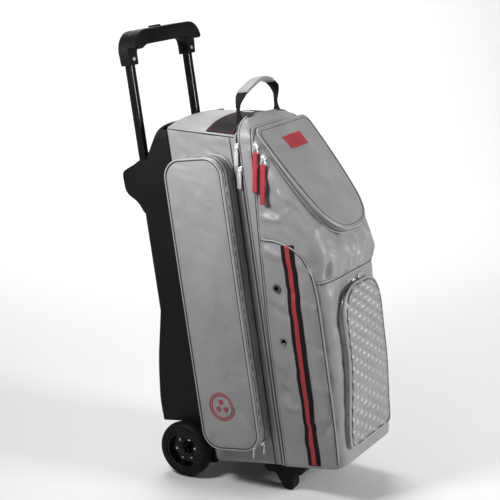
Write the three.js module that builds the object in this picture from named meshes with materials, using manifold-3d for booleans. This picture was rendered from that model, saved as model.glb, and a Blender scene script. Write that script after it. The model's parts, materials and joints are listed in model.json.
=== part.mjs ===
// Three-ball roller bag: a fabric ball case on a moulded back board, with a telescopic handle,
// two wheels, a front foot, and a hinged front door that carries a shoe compartment and two pockets.
//
// The bag is drawn upright in its own group: X across the bag, Y towards its back, Z up the board,
// with the wheel axle's centre at (0, 0, 0). The group then leans back by LEAN, as the bag stands on
// its wheels and foot, and is moved so that the middle of its base box is the origin. Millimetres.
import * as THREE from "three";
import { mergeVertices } from "three/addons/utils/BufferGeometryUtils.js";
import Module from "manifold-3d";

const wasm = await Module();
wasm.setup();

// ---------------------------------------------------------------- driving dimensions
const LEAN = THREE.MathUtils.degToRad(9.2); // backward lean when it stands on wheels and foot
const FIT = 0.5; // gap between pieces that touch

const WHEEL_RADIUS = 63.5;
const WHEEL_WIDTH = 32;
const RIM_RADIUS = 43;
const AXLE_RADIUS = 5;
const AXLE_CLEARANCE = 0.4;

const BODY_WIDTH = 248; // fabric case and door
const BOARD_LIP = 4; // how far the back board stands out past the case on each side
const BODY_HEIGHT = 773;
const BASE_DROP = 38; // underside of the case below the axle
const CASE_DEPTH = 170; // fabric case, board to door
const CASE_WALL = 6;
const BOARD_DEPTH = 64; // tray of the back board, front to back
const BOARD_WALL = 4;
const BOARD_BACK = 3; // back face of the tray behind the axle

const OUTER_TUBE = { x: 22, y: 26, wall: 1.6 };
const INNER_TUBE = { x: 16, y: 18, wall: 1.5 };
const TUBE_STANDOFF = 2; // board to outer tube
const HANDLE_STROKE = 200;
const TUBE_OVERLAP = 115; // inner tube left inside the outer one when pulled out

const DOOR_GAP = 4; // zip gap between case and door
const DOOR_DEPTH = 150;
const DOOR_WALL = 5;
const DOOR_DROP = 11; // door's top below the case's top
const LID_THICKNESS = 16; // sloping lid of the top pocket

const SIDE_POCKET_DEPTH = 40; // side pocket shell, out from the case
const SIDE_LID_THICKNESS = 11;
const BALL_DIAMETER = 218;
const CRADLE_THICKNESS = 26;

// ---------------------------------------------------------------- places worked out from them
const HALF = BODY_WIDTH / 2;
const BOARD_HALF = HALF + BOARD_LIP;
const BASE = -BASE_DROP;
const TOP = BASE + BODY_HEIGHT;
const CASE_BACK = BOARD_BACK - BOARD_DEPTH - FIT;
const CASE_FRONT = CASE_BACK - CASE_DEPTH;
const DOOR_BACK = CASE_FRONT - DOOR_GAP;
const DOOR_FRONT = DOOR_BACK - DOOR_DEPTH;
const DOOR_TOP = TOP - DOOR_DROP;
const SIN = Math.sin(LEAN);
const COS = Math.cos(LEAN);

/** Height of the floor under a point y of the leaning bag, in the bag's own frame. */
const floorHeight = (y) => (y * SIN - WHEEL_RADIUS) / COS;

// ---------------------------------------------------------------- materials
const finish = (color, roughness, metalness = 0) =>
  new THREE.MeshStandardMaterial({ color, roughness, metalness });
const MATERIALS = {
  blackPlastic: finish(0x1d1d1e, 0.55),
  blackMetal: finish(0x0a0a0b, 0.3, 0.8),
  gripPlastic: finish(0x18181a, 0.5),
  tyre: finish(0x1a1a1a, 0.7),
  rim: finish(0x0d0d0e, 0.25),
  steel: finish(0xb9bcc0, 0.25, 1),
  chrome: finish(0xd8dade, 0.15, 1),
  greyFabric: finish(0x8f9092, 0.8),
  quiltedFabric: finish(0x9a9b9d, 0.6),
  blackWebbing: finish(0x1b1a1b, 0.85),
  redWebbing: finish(0xc3282c, 0.75),
  foam: finish(0x2a2a2c, 0.95),
};

// ---------------------------------------------------------------- shape helpers
/** Closed outline from corners [u, v, radius]; a corner with a radius is rounded. */
function outline(corners, Kind = THREE.Shape) {
  const shape = new Kind();
  const count = corners.length;
  corners.forEach(([u, v, radius = 0], i) => {
    const here = new THREE.Vector2(u, v);
    const before = new THREE.Vector2(...corners[(i + count - 1) % count].slice(0, 2));
    const after = new THREE.Vector2(...corners[(i + 1) % count].slice(0, 2));
    const back = before.sub(here);
    const on = after.sub(here);
    const reach = Math.min(radius, 0.49 * back.length(), 0.49 * on.length());
    const start = here.clone().add(back.setLength(reach));
    const end = here.clone().add(on.setLength(reach));
    if (i === 0) shape.moveTo(start.x, start.y);
    else shape.lineTo(start.x, start.y);
    if (reach > 0) shape.quadraticCurveTo(here.x, here.y, end.x, end.y);
  });
  shape.closePath();
  return shape;
}

const rectangle = (u0, u1, v0, v1, radius = 0, Kind = THREE.Shape) =>
  outline([[u0, v0, radius], [u1, v0, radius], [u1, v1, radius], [u0, v1, radius]], Kind);

/** Arch outline: straight sides from v0, and a top that rises in a half-round. */
const arch = (halfWidth, v0, v1, rise, footRadius = 8) =>
  outline([
    [-halfWidth, v0, footRadius],
    [halfWidth, v0, footRadius],
    [halfWidth, v1 - rise * 0.35, rise],
    [halfWidth * 0.55, v1, rise * 0.7],
    [-halfWidth * 0.55, v1, rise * 0.7],
    [-halfWidth, v1 - rise * 0.35, rise],
  ]);

const extrude = (shape, depth, curveSegments) =>
  new THREE.ExtrudeGeometry(shape, { depth, curveSegments, bevelEnabled: false });

/** Prism of an outline in (y, z), from x0 to x1. */
const prismX = (shape, x0, x1, segments = 4) =>
  extrude(shape, x1 - x0, segments).applyMatrix4(
    new THREE.Matrix4().set(0, 0, 1, x0, 1, 0, 0, 0, 0, 1, 0, 0, 0, 0, 0, 1),
  );

/** Prism of an outline in (x, z), from y0 to y1. */
const prismY = (shape, y0, y1, segments = 4) =>
  extrude(shape, y1 - y0, segments).applyMatrix4(
    new THREE.Matrix4().set(1, 0, 0, 0, 0, 0, -1, y1, 0, 1, 0, 0, 0, 0, 0, 1),
  );

/** Prism of an outline in (x, y), from z0 to z1. */
const prismZ = (shape, z0, z1, segments = 4) =>
  extrude(shape, z1 - z0, segments).translate(0, 0, z0);

const block = (x0, x1, y0, y1, z0, z1) =>
  new THREE.BoxGeometry(x1 - x0, y1 - y0, z1 - z0).translate(
    (x0 + x1) / 2, (y0 + y1) / 2, (z0 + z1) / 2,
  );

/** Cylinder along X, Y or Z, centred on a point. */
function rod(axis, radius, length, [x, y, z], segments = 20) {
  const geometry = new THREE.CylinderGeometry(radius, radius, length, segments);
  if (axis === "x") geometry.rotateZ(Math.PI / 2);
  if (axis === "z") geometry.rotateX(Math.PI / 2);
  return geometry.translate(x, y, z);
}

/** A closed geometry as a solid that can be joined and cut. */
function solid(geometry) {
  const bare = geometry.clone();
  bare.deleteAttribute("normal");
  bare.deleteAttribute("uv");
  const merged = mergeVertices(bare, 1e-4);
  return new wasm.Manifold(
    new wasm.Mesh({
      numProp: 3,
      vertProperties: merged.attributes.position.array,
      triVerts: new Uint32Array(merged.index.array),
    }),
  );
}

/** A solid's surface, ready for a piece. */
function geometryOf(made) {
  const mesh = made.getMesh();
  const geometry = new THREE.BufferGeometry();
  geometry.setAttribute("position", new THREE.BufferAttribute(mesh.vertProperties, 3));
  geometry.setIndex(new THREE.BufferAttribute(mesh.triVerts, 1));
  geometry.computeVertexNormals();
  return geometry;
}

const joined = (...parts) => parts.map(solid).reduce((a, b) => a.add(b));
const asSolid = (shape) => (shape instanceof THREE.BufferGeometry ? solid(shape) : shape);
const cut = (body, ...tools) => tools.reduce((a, tool) => a.subtract(solid(tool)), asSolid(body));
const common = (...parts) => parts.map(solid).reduce((a, b) => a.intersect(b));

const bag = new THREE.Group();

/** Adds a named piece to a group of the bag. */
function piece(name, shape, material, parent = bag) {
  const geometry = shape instanceof THREE.BufferGeometry ? shape : geometryOf(shape);
  const mesh = new THREE.Mesh(geometry, material);
  mesh.name = name;
  parent.add(mesh);
  return mesh;
}

/** Marks a moving piece's axis: a point, and the direction it turns about or slides along. */
function axis(name, point, direction, parent = bag) {
  const mark = new THREE.Object3D();
  mark.name = name;
  mark.position.set(...point);
  mark.quaternion.setFromUnitVectors(
    new THREE.Vector3(1, 0, 0),
    new THREE.Vector3(...direction).normalize(),
  );
  parent.add(mark);
}

const SIDES = [["left", -1], ["right", 1]];

// ---------------------------------------------------------------- wheels and axle
const TRACK = BOARD_HALF + 2.5; // inner face of a wheel
const TYRE_SHOULDER = 7;

function tyre() {
  const half = WHEEL_WIDTH / 2;
  const profile = [
    [RIM_RADIUS + FIT, -half + 3],
    [RIM_RADIUS + 6, -half],
    [WHEEL_RADIUS - TYRE_SHOULDER, -half],
    [WHEEL_RADIUS - 2, -half + TYRE_SHOULDER * 0.6],
    [WHEEL_RADIUS, -half + TYRE_SHOULDER + 3],
    [WHEEL_RADIUS, half - TYRE_SHOULDER - 3],
    [WHEEL_RADIUS - 2, half - TYRE_SHOULDER * 0.6],
    [WHEEL_RADIUS - TYRE_SHOULDER, half],
    [RIM_RADIUS + 6, half],
    [RIM_RADIUS + FIT, half - 3],
    [RIM_RADIUS + FIT, -half + 3],
  ].map(([radius, along]) => new THREE.Vector2(radius, along));
  return new THREE.LatheGeometry(profile, 36).rotateZ(Math.PI / 2);
}

const SPOKES = 6;
const HUB_RADIUS = 15;

function rim() {
  const half = WHEEL_WIDTH / 2;
  const web = 5;
  const barrel = cut(
    rod("x", RIM_RADIUS, WHEEL_WIDTH - 6, [0, 0, 0], 36),
    rod("x", RIM_RADIUS - 4, half, [-half / 2 - web / 2, 0, 0], 36),
    rod("x", RIM_RADIUS - 4, half, [half / 2 + web / 2, 0, 0], 36),
  );
  const windows = Array.from({ length: SPOKES }, (_, i) => {
    const middle = ((i + 0.5) * 2 * Math.PI) / SPOKES;
    const spread = Math.PI / SPOKES - 0.2;
    const window = new THREE.Shape();
    window.absarc(0, 0, RIM_RADIUS - 7, middle - spread, middle + spread, false);
    window.absarc(0, 0, HUB_RADIUS + 5, middle + spread * 0.6, middle - spread * 0.6, true);
    window.closePath();
    return prismX(window, -half, half);
  });
  const hub = solid(rod("x", HUB_RADIUS, WHEEL_WIDTH - 4, [0, 0, 0], 24));
  return cut(
    cut(barrel, ...windows).add(hub),
    rod("x", AXLE_RADIUS + AXLE_CLEARANCE, WHEEL_WIDTH * 2, [0, 0, 0], 20),
  );
}

for (const [side, sign] of SIDES) {
  const wheel = new THREE.Group();
  wheel.position.x = sign * (TRACK + WHEEL_WIDTH / 2);
  piece(`wheel_tyre_${side}`, tyre(), MATERIALS.tyre, wheel);
  piece(`wheel_rim_${side}`, rim(), MATERIALS.rim, wheel);
  axis(`wheel_spin_${side}`, [0, 0, 0], [1, 0, 0], wheel);
  bag.add(wheel);
}

const AXLE_END = TRACK + WHEEL_WIDTH + 1;
const CAP_RADIUS = 9;
piece("axle", rod("x", AXLE_RADIUS, 2 * AXLE_END, [0, 0, 0]), MATERIALS.steel);
for (const [side, sign] of SIDES) {
  const centre = sign * (AXLE_END + FIT + 2);
  piece(`axle_cap_${side}`, rod("x", CAP_RADIUS, 4, [centre, 0, 0], 18), MATERIALS.steel);
}

// ---------------------------------------------------------------- back board
const FLANGE = 3; // side flange that covers the outer tube
const TUBE_X = BOARD_HALF - FLANGE - FIT - OUTER_TUBE.x / 2;
const TUBE_Y = BOARD_BACK + TUBE_STANDOFF + OUTER_TUBE.y / 2;
const BUMPER_TOP = TOP - 78; // where the inner tubes come out
const BUMPER_HEIGHT = 122;
const BUMPER_REACH = 70; // how far the two bumpers stand out behind the tray
const BUMPER_WIDTH = 44;
const HOUSING_TOP = 330; // wheel housing, up from the axle
const HOUSING_REACH = 63;
const HOUSING_BOTTOM = 58;
const AXLE_BOSS = { radius: 22, depth: 10 };
const BOARD_SHOULDER = 28; // rounding of its two top corners

const boardOutline = () =>
  outline([
    [BOARD_BACK - BOARD_DEPTH, BASE],
    [-BASE_DROP * 0.6, BASE, 12],
    [BOARD_BACK, 0, 20],
    [BOARD_BACK, BUMPER_TOP],
    [-9, BUMPER_TOP + 21, 8],
    [-39, TOP - 11, 14],
    [BOARD_BACK - BOARD_DEPTH, TOP],
  ]);

const trayHollow = () =>
  outline([
    [BOARD_BACK - BOARD_DEPTH - 1, BASE + BOARD_WALL],
    [-BASE_DROP * 0.6, BASE + BOARD_WALL, 8],
    [BOARD_BACK - BOARD_WALL, BOARD_WALL, 16],
    [BOARD_BACK - BOARD_WALL, BUMPER_TOP - 6],
    [-12, BUMPER_TOP + 13, 8],
    [-41, TOP - 17, 12],
    [BOARD_BACK - BOARD_DEPTH - 1, TOP - 5],
  ]);

/** Side view of a bumper, [y, z] from the tray's back; depth 1 is the full reach. */
function bumperOutline(depth) {
  const reach = BUMPER_REACH * depth;
  const base = BUMPER_TOP - BUMPER_HEIGHT;
  return outline([
    [BOARD_BACK - 1, base],
    [BOARD_BACK + 0.35 * reach, base, 12],
    [BOARD_BACK + 0.55 * reach, base + 30, 14],
    [BOARD_BACK + 0.98 * reach, base + 52, 16],
    [BOARD_BACK + reach, BUMPER_TOP - 22, 12],
    [BOARD_BACK + 0.5 * reach, BUMPER_TOP - 8, 10],
    [BOARD_BACK + 0.3 * reach, BUMPER_TOP],
    [BOARD_BACK - 1, BUMPER_TOP],
  ]);
}

const housingOutline = (inset) =>
  outline([
    [BOARD_BACK - 1, HOUSING_TOP - inset],
    [BOARD_BACK + 0.33 * HOUSING_REACH - inset, HOUSING_TOP - inset, 6],
    [BOARD_BACK + 0.82 * HOUSING_REACH - inset, HOUSING_TOP - 133, 60],
    [BOARD_BACK + HOUSING_REACH - inset, HOUSING_TOP - 226, 40],
    [BOARD_BACK + HOUSING_REACH - inset - 2, HOUSING_BOTTOM - inset * 2, 4],
    [BOARD_BACK - 1, HOUSING_BOTTOM - inset * 2],
  ]);

function backBoard() {
  const inside = BOARD_HALF - BOARD_WALL;
  const bumperBase = BUMPER_TOP - BUMPER_HEIGHT;
  let board = solid(prismX(boardOutline(), -BOARD_HALF, BOARD_HALF)).add(
    cut(
      prismX(housingOutline(0), -BOARD_HALF, BOARD_HALF),
      prismX(housingOutline(BOARD_WALL), -inside, inside),
    ),
  );
  for (const [, sign] of SIDES) {
    const [outer, inner] = [sign * BOARD_HALF, sign * (BOARD_HALF - BUMPER_WIDTH)];
    const [low, high] = [Math.min(outer, inner), Math.max(outer, inner)];
    board = board.add(solid(prismX(bumperOutline(1), low, high)));
    const flangeInner = sign * (BOARD_HALF - FLANGE);
    board = board.add(
      solid(
        block(
          Math.min(outer, flangeInner), Math.max(outer, flangeInner),
          BOARD_BACK - 1, TUBE_Y + 6, HOUSING_TOP - 20, bumperBase + 10,
        ),
      ),
    );
  }
  board = board.add(solid(prismX(bumperOutline(0.45), -BOARD_HALF + 10, BOARD_HALF - 10)));
  board = cut(board, prismX(trayHollow(), -inside, inside));
  board = board.intersect(
    solid(
      prismY(
        rectangle(-BOARD_HALF, BOARD_HALF, 2 * BASE, TOP - 3, BOARD_SHOULDER),
        CASE_BACK, BOARD_BACK + 2 * BUMPER_REACH, 6,
      ),
    ),
  );
  for (const [, sign] of SIDES) {
    const middle = sign * (BOARD_HALF - AXLE_BOSS.depth / 2);
    board = board.add(solid(rod("x", AXLE_BOSS.radius, AXLE_BOSS.depth, [middle, 0, 0], 24)));
  }
  for (const [, sign] of SIDES) {
    board = cut(
      board,
      prismZ(
        rectangle(
          sign * TUBE_X - OUTER_TUBE.x / 2 - FIT, sign * TUBE_X + OUTER_TUBE.x / 2 + FIT,
          TUBE_Y - OUTER_TUBE.y / 2 - FIT, TUBE_Y + OUTER_TUBE.y / 2 + FIT, 3,
        ),
        HOUSING_TOP - 60, BUMPER_TOP - 6,
      ),
      prismZ(
        rectangle(
          sign * TUBE_X - INNER_TUBE.x / 2 - 1, sign * TUBE_X + INNER_TUBE.x / 2 + 1,
          TUBE_Y - INNER_TUBE.y / 2 - 1, TUBE_Y + INNER_TUBE.y / 2 + 1, 2,
        ),
        BUMPER_TOP - 10, BUMPER_TOP + 5,
      ),
    );
  }
  return cut(board, rod("x", AXLE_RADIUS + AXLE_CLEARANCE, BODY_WIDTH + 10, [0, 0, 0], 20));
}
piece("back_board", backBoard(), MATERIALS.blackPlastic);

const WASHER_SIZE = 26;
for (const [side, sign] of SIDES) {
  const outer = sign * (BOARD_HALF + FIT);
  const inner = sign * (TRACK - FIT);
  const spacer = cut(
    prismX(
      rectangle(-WASHER_SIZE / 2, WASHER_SIZE / 2, -WASHER_SIZE / 2, WASHER_SIZE / 2, 8),
      Math.min(outer, inner), Math.max(outer, inner),
    ),
    rod("x", AXLE_RADIUS + AXLE_CLEARANCE, 2 * AXLE_END, [0, 0, 0], 20),
  );
  piece(`wheel_washer_${side}`, spacer, MATERIALS.steel);
}

// ---------------------------------------------------------------- telescopic handle
const OUTER_TUBE_BOTTOM = HOUSING_TOP - 55;
const OUTER_TUBE_TOP = BUMPER_TOP - 8;
const GRIP_BOTTOM = BUMPER_TOP + HANDLE_STROKE + 7;
const GRIP_HEIGHT = 73;
const GRIP_BAR = 34; // height of the bar that the hand holds
const GRIP_HALF = TUBE_X + 18;
const GRIP_LEG = { x: 30, y: 26 };
const GRIP_FRONT = TUBE_Y - 33;
const GRIP_SHOULDER = { x: 46, z: 44 }; // sweep from the bar down to a leg
const INNER_TUBE_TOP = GRIP_BOTTOM + 38;
const INNER_TUBE_BOTTOM = OUTER_TUBE_TOP - TUBE_OVERLAP;
const GRIP_SPLIT = 0.3;

/** Open-ended rectangular tube. */
function tube({ x, y, wall }, centreX, z0, z1) {
  const shape = (grow, Kind) =>
    rectangle(
      centreX - x / 2 - grow, centreX + x / 2 + grow,
      TUBE_Y - y / 2 - grow, TUBE_Y + y / 2 + grow, 3, Kind,
    );
  const section = shape(0);
  section.holes.push(shape(-wall, THREE.Path));
  return prismZ(section, z0, z1, 3);
}

for (const [side, sign] of SIDES) {
  const outer = tube(OUTER_TUBE, sign * TUBE_X, OUTER_TUBE_BOTTOM, OUTER_TUBE_TOP);
  const inner = tube(INNER_TUBE, sign * TUBE_X, INNER_TUBE_BOTTOM, INNER_TUBE_TOP);
  piece(`outer_tube_${side}`, outer, MATERIALS.blackMetal);
  piece(`inner_tube_${side}`, inner, MATERIALS.blackMetal);
}

const gripTop = GRIP_BOTTOM + GRIP_HEIGHT;
const gripInner = TUBE_X - GRIP_LEG.x / 2;
const gripOuter = TUBE_X + GRIP_LEG.x / 2;
const RELEASE_RADIUS = 2.5;
const RELEASE_Z = gripTop - 19;
const BUTTON = { x: 34, y: 14, rise: 4 }; // it presses flush with the bar
const RIVET_RADIUS = 4;

/** The whole grip before it is split into its two shells: a bar with a leg at each end. */
function gripBody() {
  const underBar = gripTop - GRIP_BAR;
  const mirrored = (half) => [...half, ...half.map(([x, z, r]) => [-x, z, r]).reverse()];
  const shoulder = (lift) => Array.from({ length: 9 }, (_, i) => {
    const turn = lift + (Math.PI / 2 - lift) * (i / 8);
    const [inward, below] = [GRIP_SHOULDER.x * (1 - Math.cos(turn)), GRIP_SHOULDER.z * (1 - Math.sin(turn))];
    return [-GRIP_HALF + inward, gripTop - below, 0];
  });
  const outer = outline(mirrored([
    [-gripInner, underBar, 20], [-gripInner, GRIP_BOTTOM, 3], [-gripOuter, GRIP_BOTTOM, 3],
    ...shoulder(0),
  ]));
  const front = outline(mirrored([
    [-gripInner + 14, underBar + 2, 14], [-gripInner - 4, underBar - 6, 6],
    [-gripOuter + 3, underBar - 6, 4], ...shoulder(0.2),
  ]));
  const legBack = TUBE_Y + GRIP_LEG.y / 2;
  let body = solid(prismY(outer, TUBE_Y - GRIP_LEG.y / 2, legBack, 8)).add(
    solid(prismY(front, GRIP_FRONT, TUBE_Y, 8)),
  );
  for (const [, sign] of SIDES) {
    const x = sign * TUBE_X;
    const [hx, hy] = [INNER_TUBE.x / 2 + FIT, INNER_TUBE.y / 2 + FIT];
    body = cut(
      body,
      block(x - hx, x + hx, TUBE_Y - hy, TUBE_Y + hy, GRIP_BOTTOM - 1, INNER_TUBE_TOP + FIT),
      block(x - 5, x + 5, TUBE_Y - 5, TUBE_Y + 5, INNER_TUBE_TOP - 1, RELEASE_Z + 3.5),
      rod("y", RIVET_RADIUS - 1 + FIT, 10, [x, TUBE_Y - GRIP_LEG.y / 2, GRIP_BOTTOM + 13], 12),
    );
  }
  return cut(
    body,
    block(-TUBE_X, TUBE_X, TUBE_Y - 5, TUBE_Y + 5, RELEASE_Z - 9, RELEASE_Z + 3.5),
    block(-BUTTON.x / 2 - FIT, BUTTON.x / 2 + FIT, TUBE_Y - BUTTON.y / 2 - FIT,
      TUBE_Y + BUTTON.y / 2 + FIT, RELEASE_Z - BUTTON.rise, gripTop + BUTTON.rise),
  );
}

const whole = gripBody();
const wide = GRIP_HALF * 2;
piece(
  "grip_front_shell",
  cut(whole, block(-wide, wide, TUBE_Y - GRIP_SPLIT / 2, TUBE_Y + 100, 0, gripTop + 100)),
  MATERIALS.gripPlastic,
);
piece(
  "grip_rear_shell",
  cut(whole, block(-wide, wide, TUBE_Y - 100, TUBE_Y + GRIP_SPLIT / 2, 0, gripTop + 100)),
  MATERIALS.gripPlastic,
);
for (const [side, sign] of SIDES) {
  const [x, face, z] = [sign * TUBE_X, TUBE_Y - GRIP_LEG.y / 2, GRIP_BOTTOM + 13];
  piece(
    `grip_rivet_${side}`,
    joined(
      rod("y", RIVET_RADIUS, 1.5, [x, face - FIT - 0.75, z], 12),
      rod("y", RIVET_RADIUS - 1, 3, [x, face - FIT + 0.9, z], 12),
    ),
    MATERIALS.chrome,
  );
}

// The push button, and the bent release rod that it presses: down both inner tubes to the locks.
piece(
  "grip_button",
  prismZ(
    rectangle(-BUTTON.x / 2, BUTTON.x / 2, TUBE_Y - BUTTON.y / 2, TUBE_Y + BUTTON.y / 2, 5),
    RELEASE_Z + RELEASE_RADIUS + FIT, gripTop + BUTTON.rise,
  ),
  MATERIALS.gripPlastic,
);
const ROD_BOTTOM = INNER_TUBE_BOTTOM + 10;
piece(
  "release_rod",
  joined(
    rod("x", RELEASE_RADIUS, 2 * TUBE_X, [0, TUBE_Y, RELEASE_Z], 8),
    ...SIDES.map(([, sign]) =>
      rod("z", RELEASE_RADIUS, RELEASE_Z - ROD_BOTTOM,
        [sign * TUBE_X, TUBE_Y, (RELEASE_Z + ROD_BOTTOM) / 2], 8)),
  ),
  MATERIALS.steel,
);
axis("handle_slide", [0, TUBE_Y, GRIP_BOTTOM], [0, 0, 1]);
axis("button_press", [0, TUBE_Y, gripTop], [0, 0, -1]);

// ---------------------------------------------------------------- fabric case
const CORNER = 14;
function fabricCase() {
  const inner = HALF - CASE_WALL;
  const section = rectangle(-HALF, HALF, BASE, TOP, CORNER);
  section.holes.push(
    rectangle(-inner, inner, BASE + CASE_WALL, TOP - CASE_WALL, CORNER - CASE_WALL, THREE.Path),
  );
  return prismY(section, CASE_FRONT, CASE_BACK);
}
piece("fabric_case", fabricCase(), MATERIALS.greyFabric);

// Three foam cradles, one under each ball of the stack.
const CUP_DEPTH = 14;
const CRADLE_PITCH = BALL_DIAMETER + 18;
["lower", "middle", "upper"].forEach((place, i) => {
  const bottom = BASE + CASE_WALL + FIT + i * CRADLE_PITCH;
  const halfWidth = HALF - CASE_WALL - FIT;
  const back = BOARD_BACK - BOARD_WALL - FIT - (i === 0 ? BOARD_DEPTH / 2 : 0);
  const front = CASE_FRONT + 4;
  const ball = new THREE.SphereGeometry(BALL_DIAMETER / 2 + 1, 28, 20);
  ball.rotateX(Math.PI / 2);
  ball.translate(0, (BOARD_BACK - BOARD_WALL + front) / 2,
    bottom + CRADLE_THICKNESS - CUP_DEPTH + BALL_DIAMETER / 2 + 1);
  const pad = cut(
    prismZ(rectangle(-halfWidth, halfWidth, front, back, 12), bottom, bottom + CRADLE_THICKNESS, 2),
    ball,
  );
  const within = rectangle(
    -halfWidth, halfWidth, BASE + CASE_WALL + FIT, TOP - CASE_WALL - FIT, CORNER - CASE_WALL - FIT,
  );
  piece(`ball_cradle_${place}`, pad.intersect(solid(prismY(within, front - 1, back + 1))), MATERIALS.foam);
});

// ---------------------------------------------------------------- front foot
const FOOT_BACK = -172;
const FOOT_FRONT = -282;
const FOOT_PLATE = 20;
const FOOT_HALF = HALF - 18;
const LEG_X = HALF - 36;
const LEG_WIDTH = 34;

function frontFoot() {
  const top = BASE - FIT;
  const plate = prismX(
    outline([
      [FOOT_BACK, top], [FOOT_BACK - 8, top - FOOT_PLATE, 4],
      [FOOT_FRONT + 18, top - FOOT_PLATE - 6, 4], [FOOT_FRONT, top - 6, 4], [FOOT_FRONT, top],
    ].reverse()),
    -FOOT_HALF, FOOT_HALF,
  );
  const legProfile = outline([
    [-184, top - 4], [-200, top - 26, 6], [-213, floorHeight(-213) + 7, 3],
    [-217, floorHeight(-217)], [-233, floorHeight(-233)],
    [-240, floorHeight(-240) + 12, 4], [-243, top - 4],
  ].reverse());
  const legs = SIDES.map(([, sign]) =>
    common(
      prismX(legProfile, sign * LEG_X - LEG_WIDTH / 2, sign * LEG_X + LEG_WIDTH / 2),
      prismY(
        outline([
          [sign * LEG_X - LEG_WIDTH / 2, top], [sign * LEG_X - LEG_WIDTH / 3, top - 90],
          [sign * LEG_X + LEG_WIDTH / 3, top - 90], [sign * LEG_X + LEG_WIDTH / 2, top],
        ]),
        -260, -170,
      ),
    ));
  return legs.reduce((a, b) => a.add(b), solid(plate));
}
piece("front_foot", frontFoot(), MATERIALS.blackPlastic);

// ---------------------------------------------------------------- front door
const SLOPE_TOP = [DOOR_BACK - 26, DOOR_TOP - 12];
const SLOPE_FOOT = [DOOR_FRONT, TOP - 245];
const SHOE_CEILING = TOP - 268; // shelf between the shoe compartment and the top pocket
const HINGE_Y = FOOT_FRONT - 3;
const PANEL_CORNER = 26;
const POCKET_MOUTH = 86; // half width of the top pocket's mouth
const LID_HALF = 104;
const LID_HEAD = 20; // from the top of the slope to the lid's hinge
const LID_OVERHANG = 34;
const QUILT = { half: 92, bottom: 0, top: SLOPE_FOOT[1] - 138, depth: 36, wall: 6, face: 10 };
const SHOE_MOUTH = { half: QUILT.half - 14, bottom: QUILT.bottom + 14, top: QUILT.top - 22 };
const GROMMET = { y: DOOR_BACK - 45, heights: [248, 365], radius: 9, hole: 5 };

const slope = new THREE.Vector2(SLOPE_FOOT[0] - SLOPE_TOP[0], SLOPE_FOOT[1] - SLOPE_TOP[1]);
const slopeLength = slope.length();
const slopeAngle = Math.atan2(-slope.x, -slope.y); // from straight down towards the front

/** Turns a shape drawn in the lid's own plane (x, along the slope, outward) into the bag's frame. */
function onSlope(geometry) {
  const along = new THREE.Vector3(0, slope.x, slope.y).normalize();
  const out = new THREE.Vector3(0, -Math.cos(slopeAngle), Math.sin(slopeAngle));
  const across = new THREE.Vector3().crossVectors(along, out);
  const frame = new THREE.Matrix4().makeBasis(across, along, out);
  frame.setPosition(0, ...SLOPE_TOP);
  return geometry.applyMatrix4(frame);
}

function doorShell() {
  const side = (inset) =>
    outline([
      [DOOR_BACK - inset, BASE + inset],
      [DOOR_BACK - inset, DOOR_TOP - inset],
      [SLOPE_TOP[0] + inset * 0.2, DOOR_TOP - inset, 8],
      [SLOPE_TOP[0] + inset, SLOPE_TOP[1] - inset * 0.6],
      [SLOPE_FOOT[0] + inset * 1.1, SLOPE_FOOT[1] - inset * 0.4, 14],
      [DOOR_FRONT + inset, BASE + inset, 34],
    ].reverse());
  const plan = (inset) =>
    rectangle(-HALF + inset, HALF - inset, DOOR_FRONT + inset, DOOR_BACK + 60, PANEL_CORNER - inset / 2);
  const face = (inset) =>
    rectangle(-HALF + inset, HALF - inset, BASE - 60, DOOR_TOP - inset, 46);
  const hull = (inset) =>
    common(
      prismX(side(inset), -HALF + inset, HALF - inset),
      prismZ(plan(inset), BASE + inset, DOOR_TOP - inset),
      prismY(face(inset), DOOR_FRONT - 60, DOOR_BACK - inset),
    );
  const hollow = cut(
    hull(DOOR_WALL),
    block(-HALF, HALF, DOOR_FRONT, DOOR_BACK, SHOE_CEILING - DOOR_WALL, SHOE_CEILING),
  );
  const shoeMouth = prismY(
    arch(SHOE_MOUTH.half, SHOE_MOUTH.bottom, SHOE_MOUTH.top, 60),
    DOOR_FRONT - 5, DOOR_FRONT + DOOR_WALL + 8,
  );
  const pocketMouth = onSlope(
    extrude(
      outline([
        [-POCKET_MOUTH, LID_HEAD + 14, 10], [POCKET_MOUTH, LID_HEAD + 14, 10],
        [POCKET_MOUTH, slopeLength - 22, 60], [-POCKET_MOUTH, slopeLength - 22, 60],
      ]),
      DOOR_WALL + 12, 4,
    ).translate(0, 0, -DOOR_WALL - 6),
  );
  const grommetHoles = SIDES.flatMap(([, sign]) =>
    GROMMET.heights.map((z) =>
      rod("x", GROMMET.radius - 2 + FIT, DOOR_WALL * 4, [sign * HALF, GROMMET.y, z], 14)));
  return cut(hull(0).subtract(hollow), shoeMouth, pocketMouth, ...grommetHoles);
}
piece("door_shell", doorShell(), MATERIALS.greyFabric);
axis("door_hinge", [0, HINGE_Y, BASE - FIT / 2], [1, 0, 0]);

for (const [side, sign] of SIDES) {
  GROMMET.heights.forEach((z, i) => {
    const flangeX = sign * (HALF + FIT + 0.75);
    const barrelX = sign * (HALF + FIT + 0.5 - DOOR_WALL / 2);
    const flange = rod("x", GROMMET.radius, 1.5, [flangeX, GROMMET.y, z], 16);
    const barrel = rod("x", GROMMET.radius - 2, DOOR_WALL, [barrelX, GROMMET.y, z], 16);
    piece(
      `grommet_${side}_${i + 1}`,
      cut(joined(flange, barrel), rod("x", GROMMET.hole, 40, [sign * HALF, GROMMET.y, z], 12)),
      MATERIALS.chrome,
    );
  });
}

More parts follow.
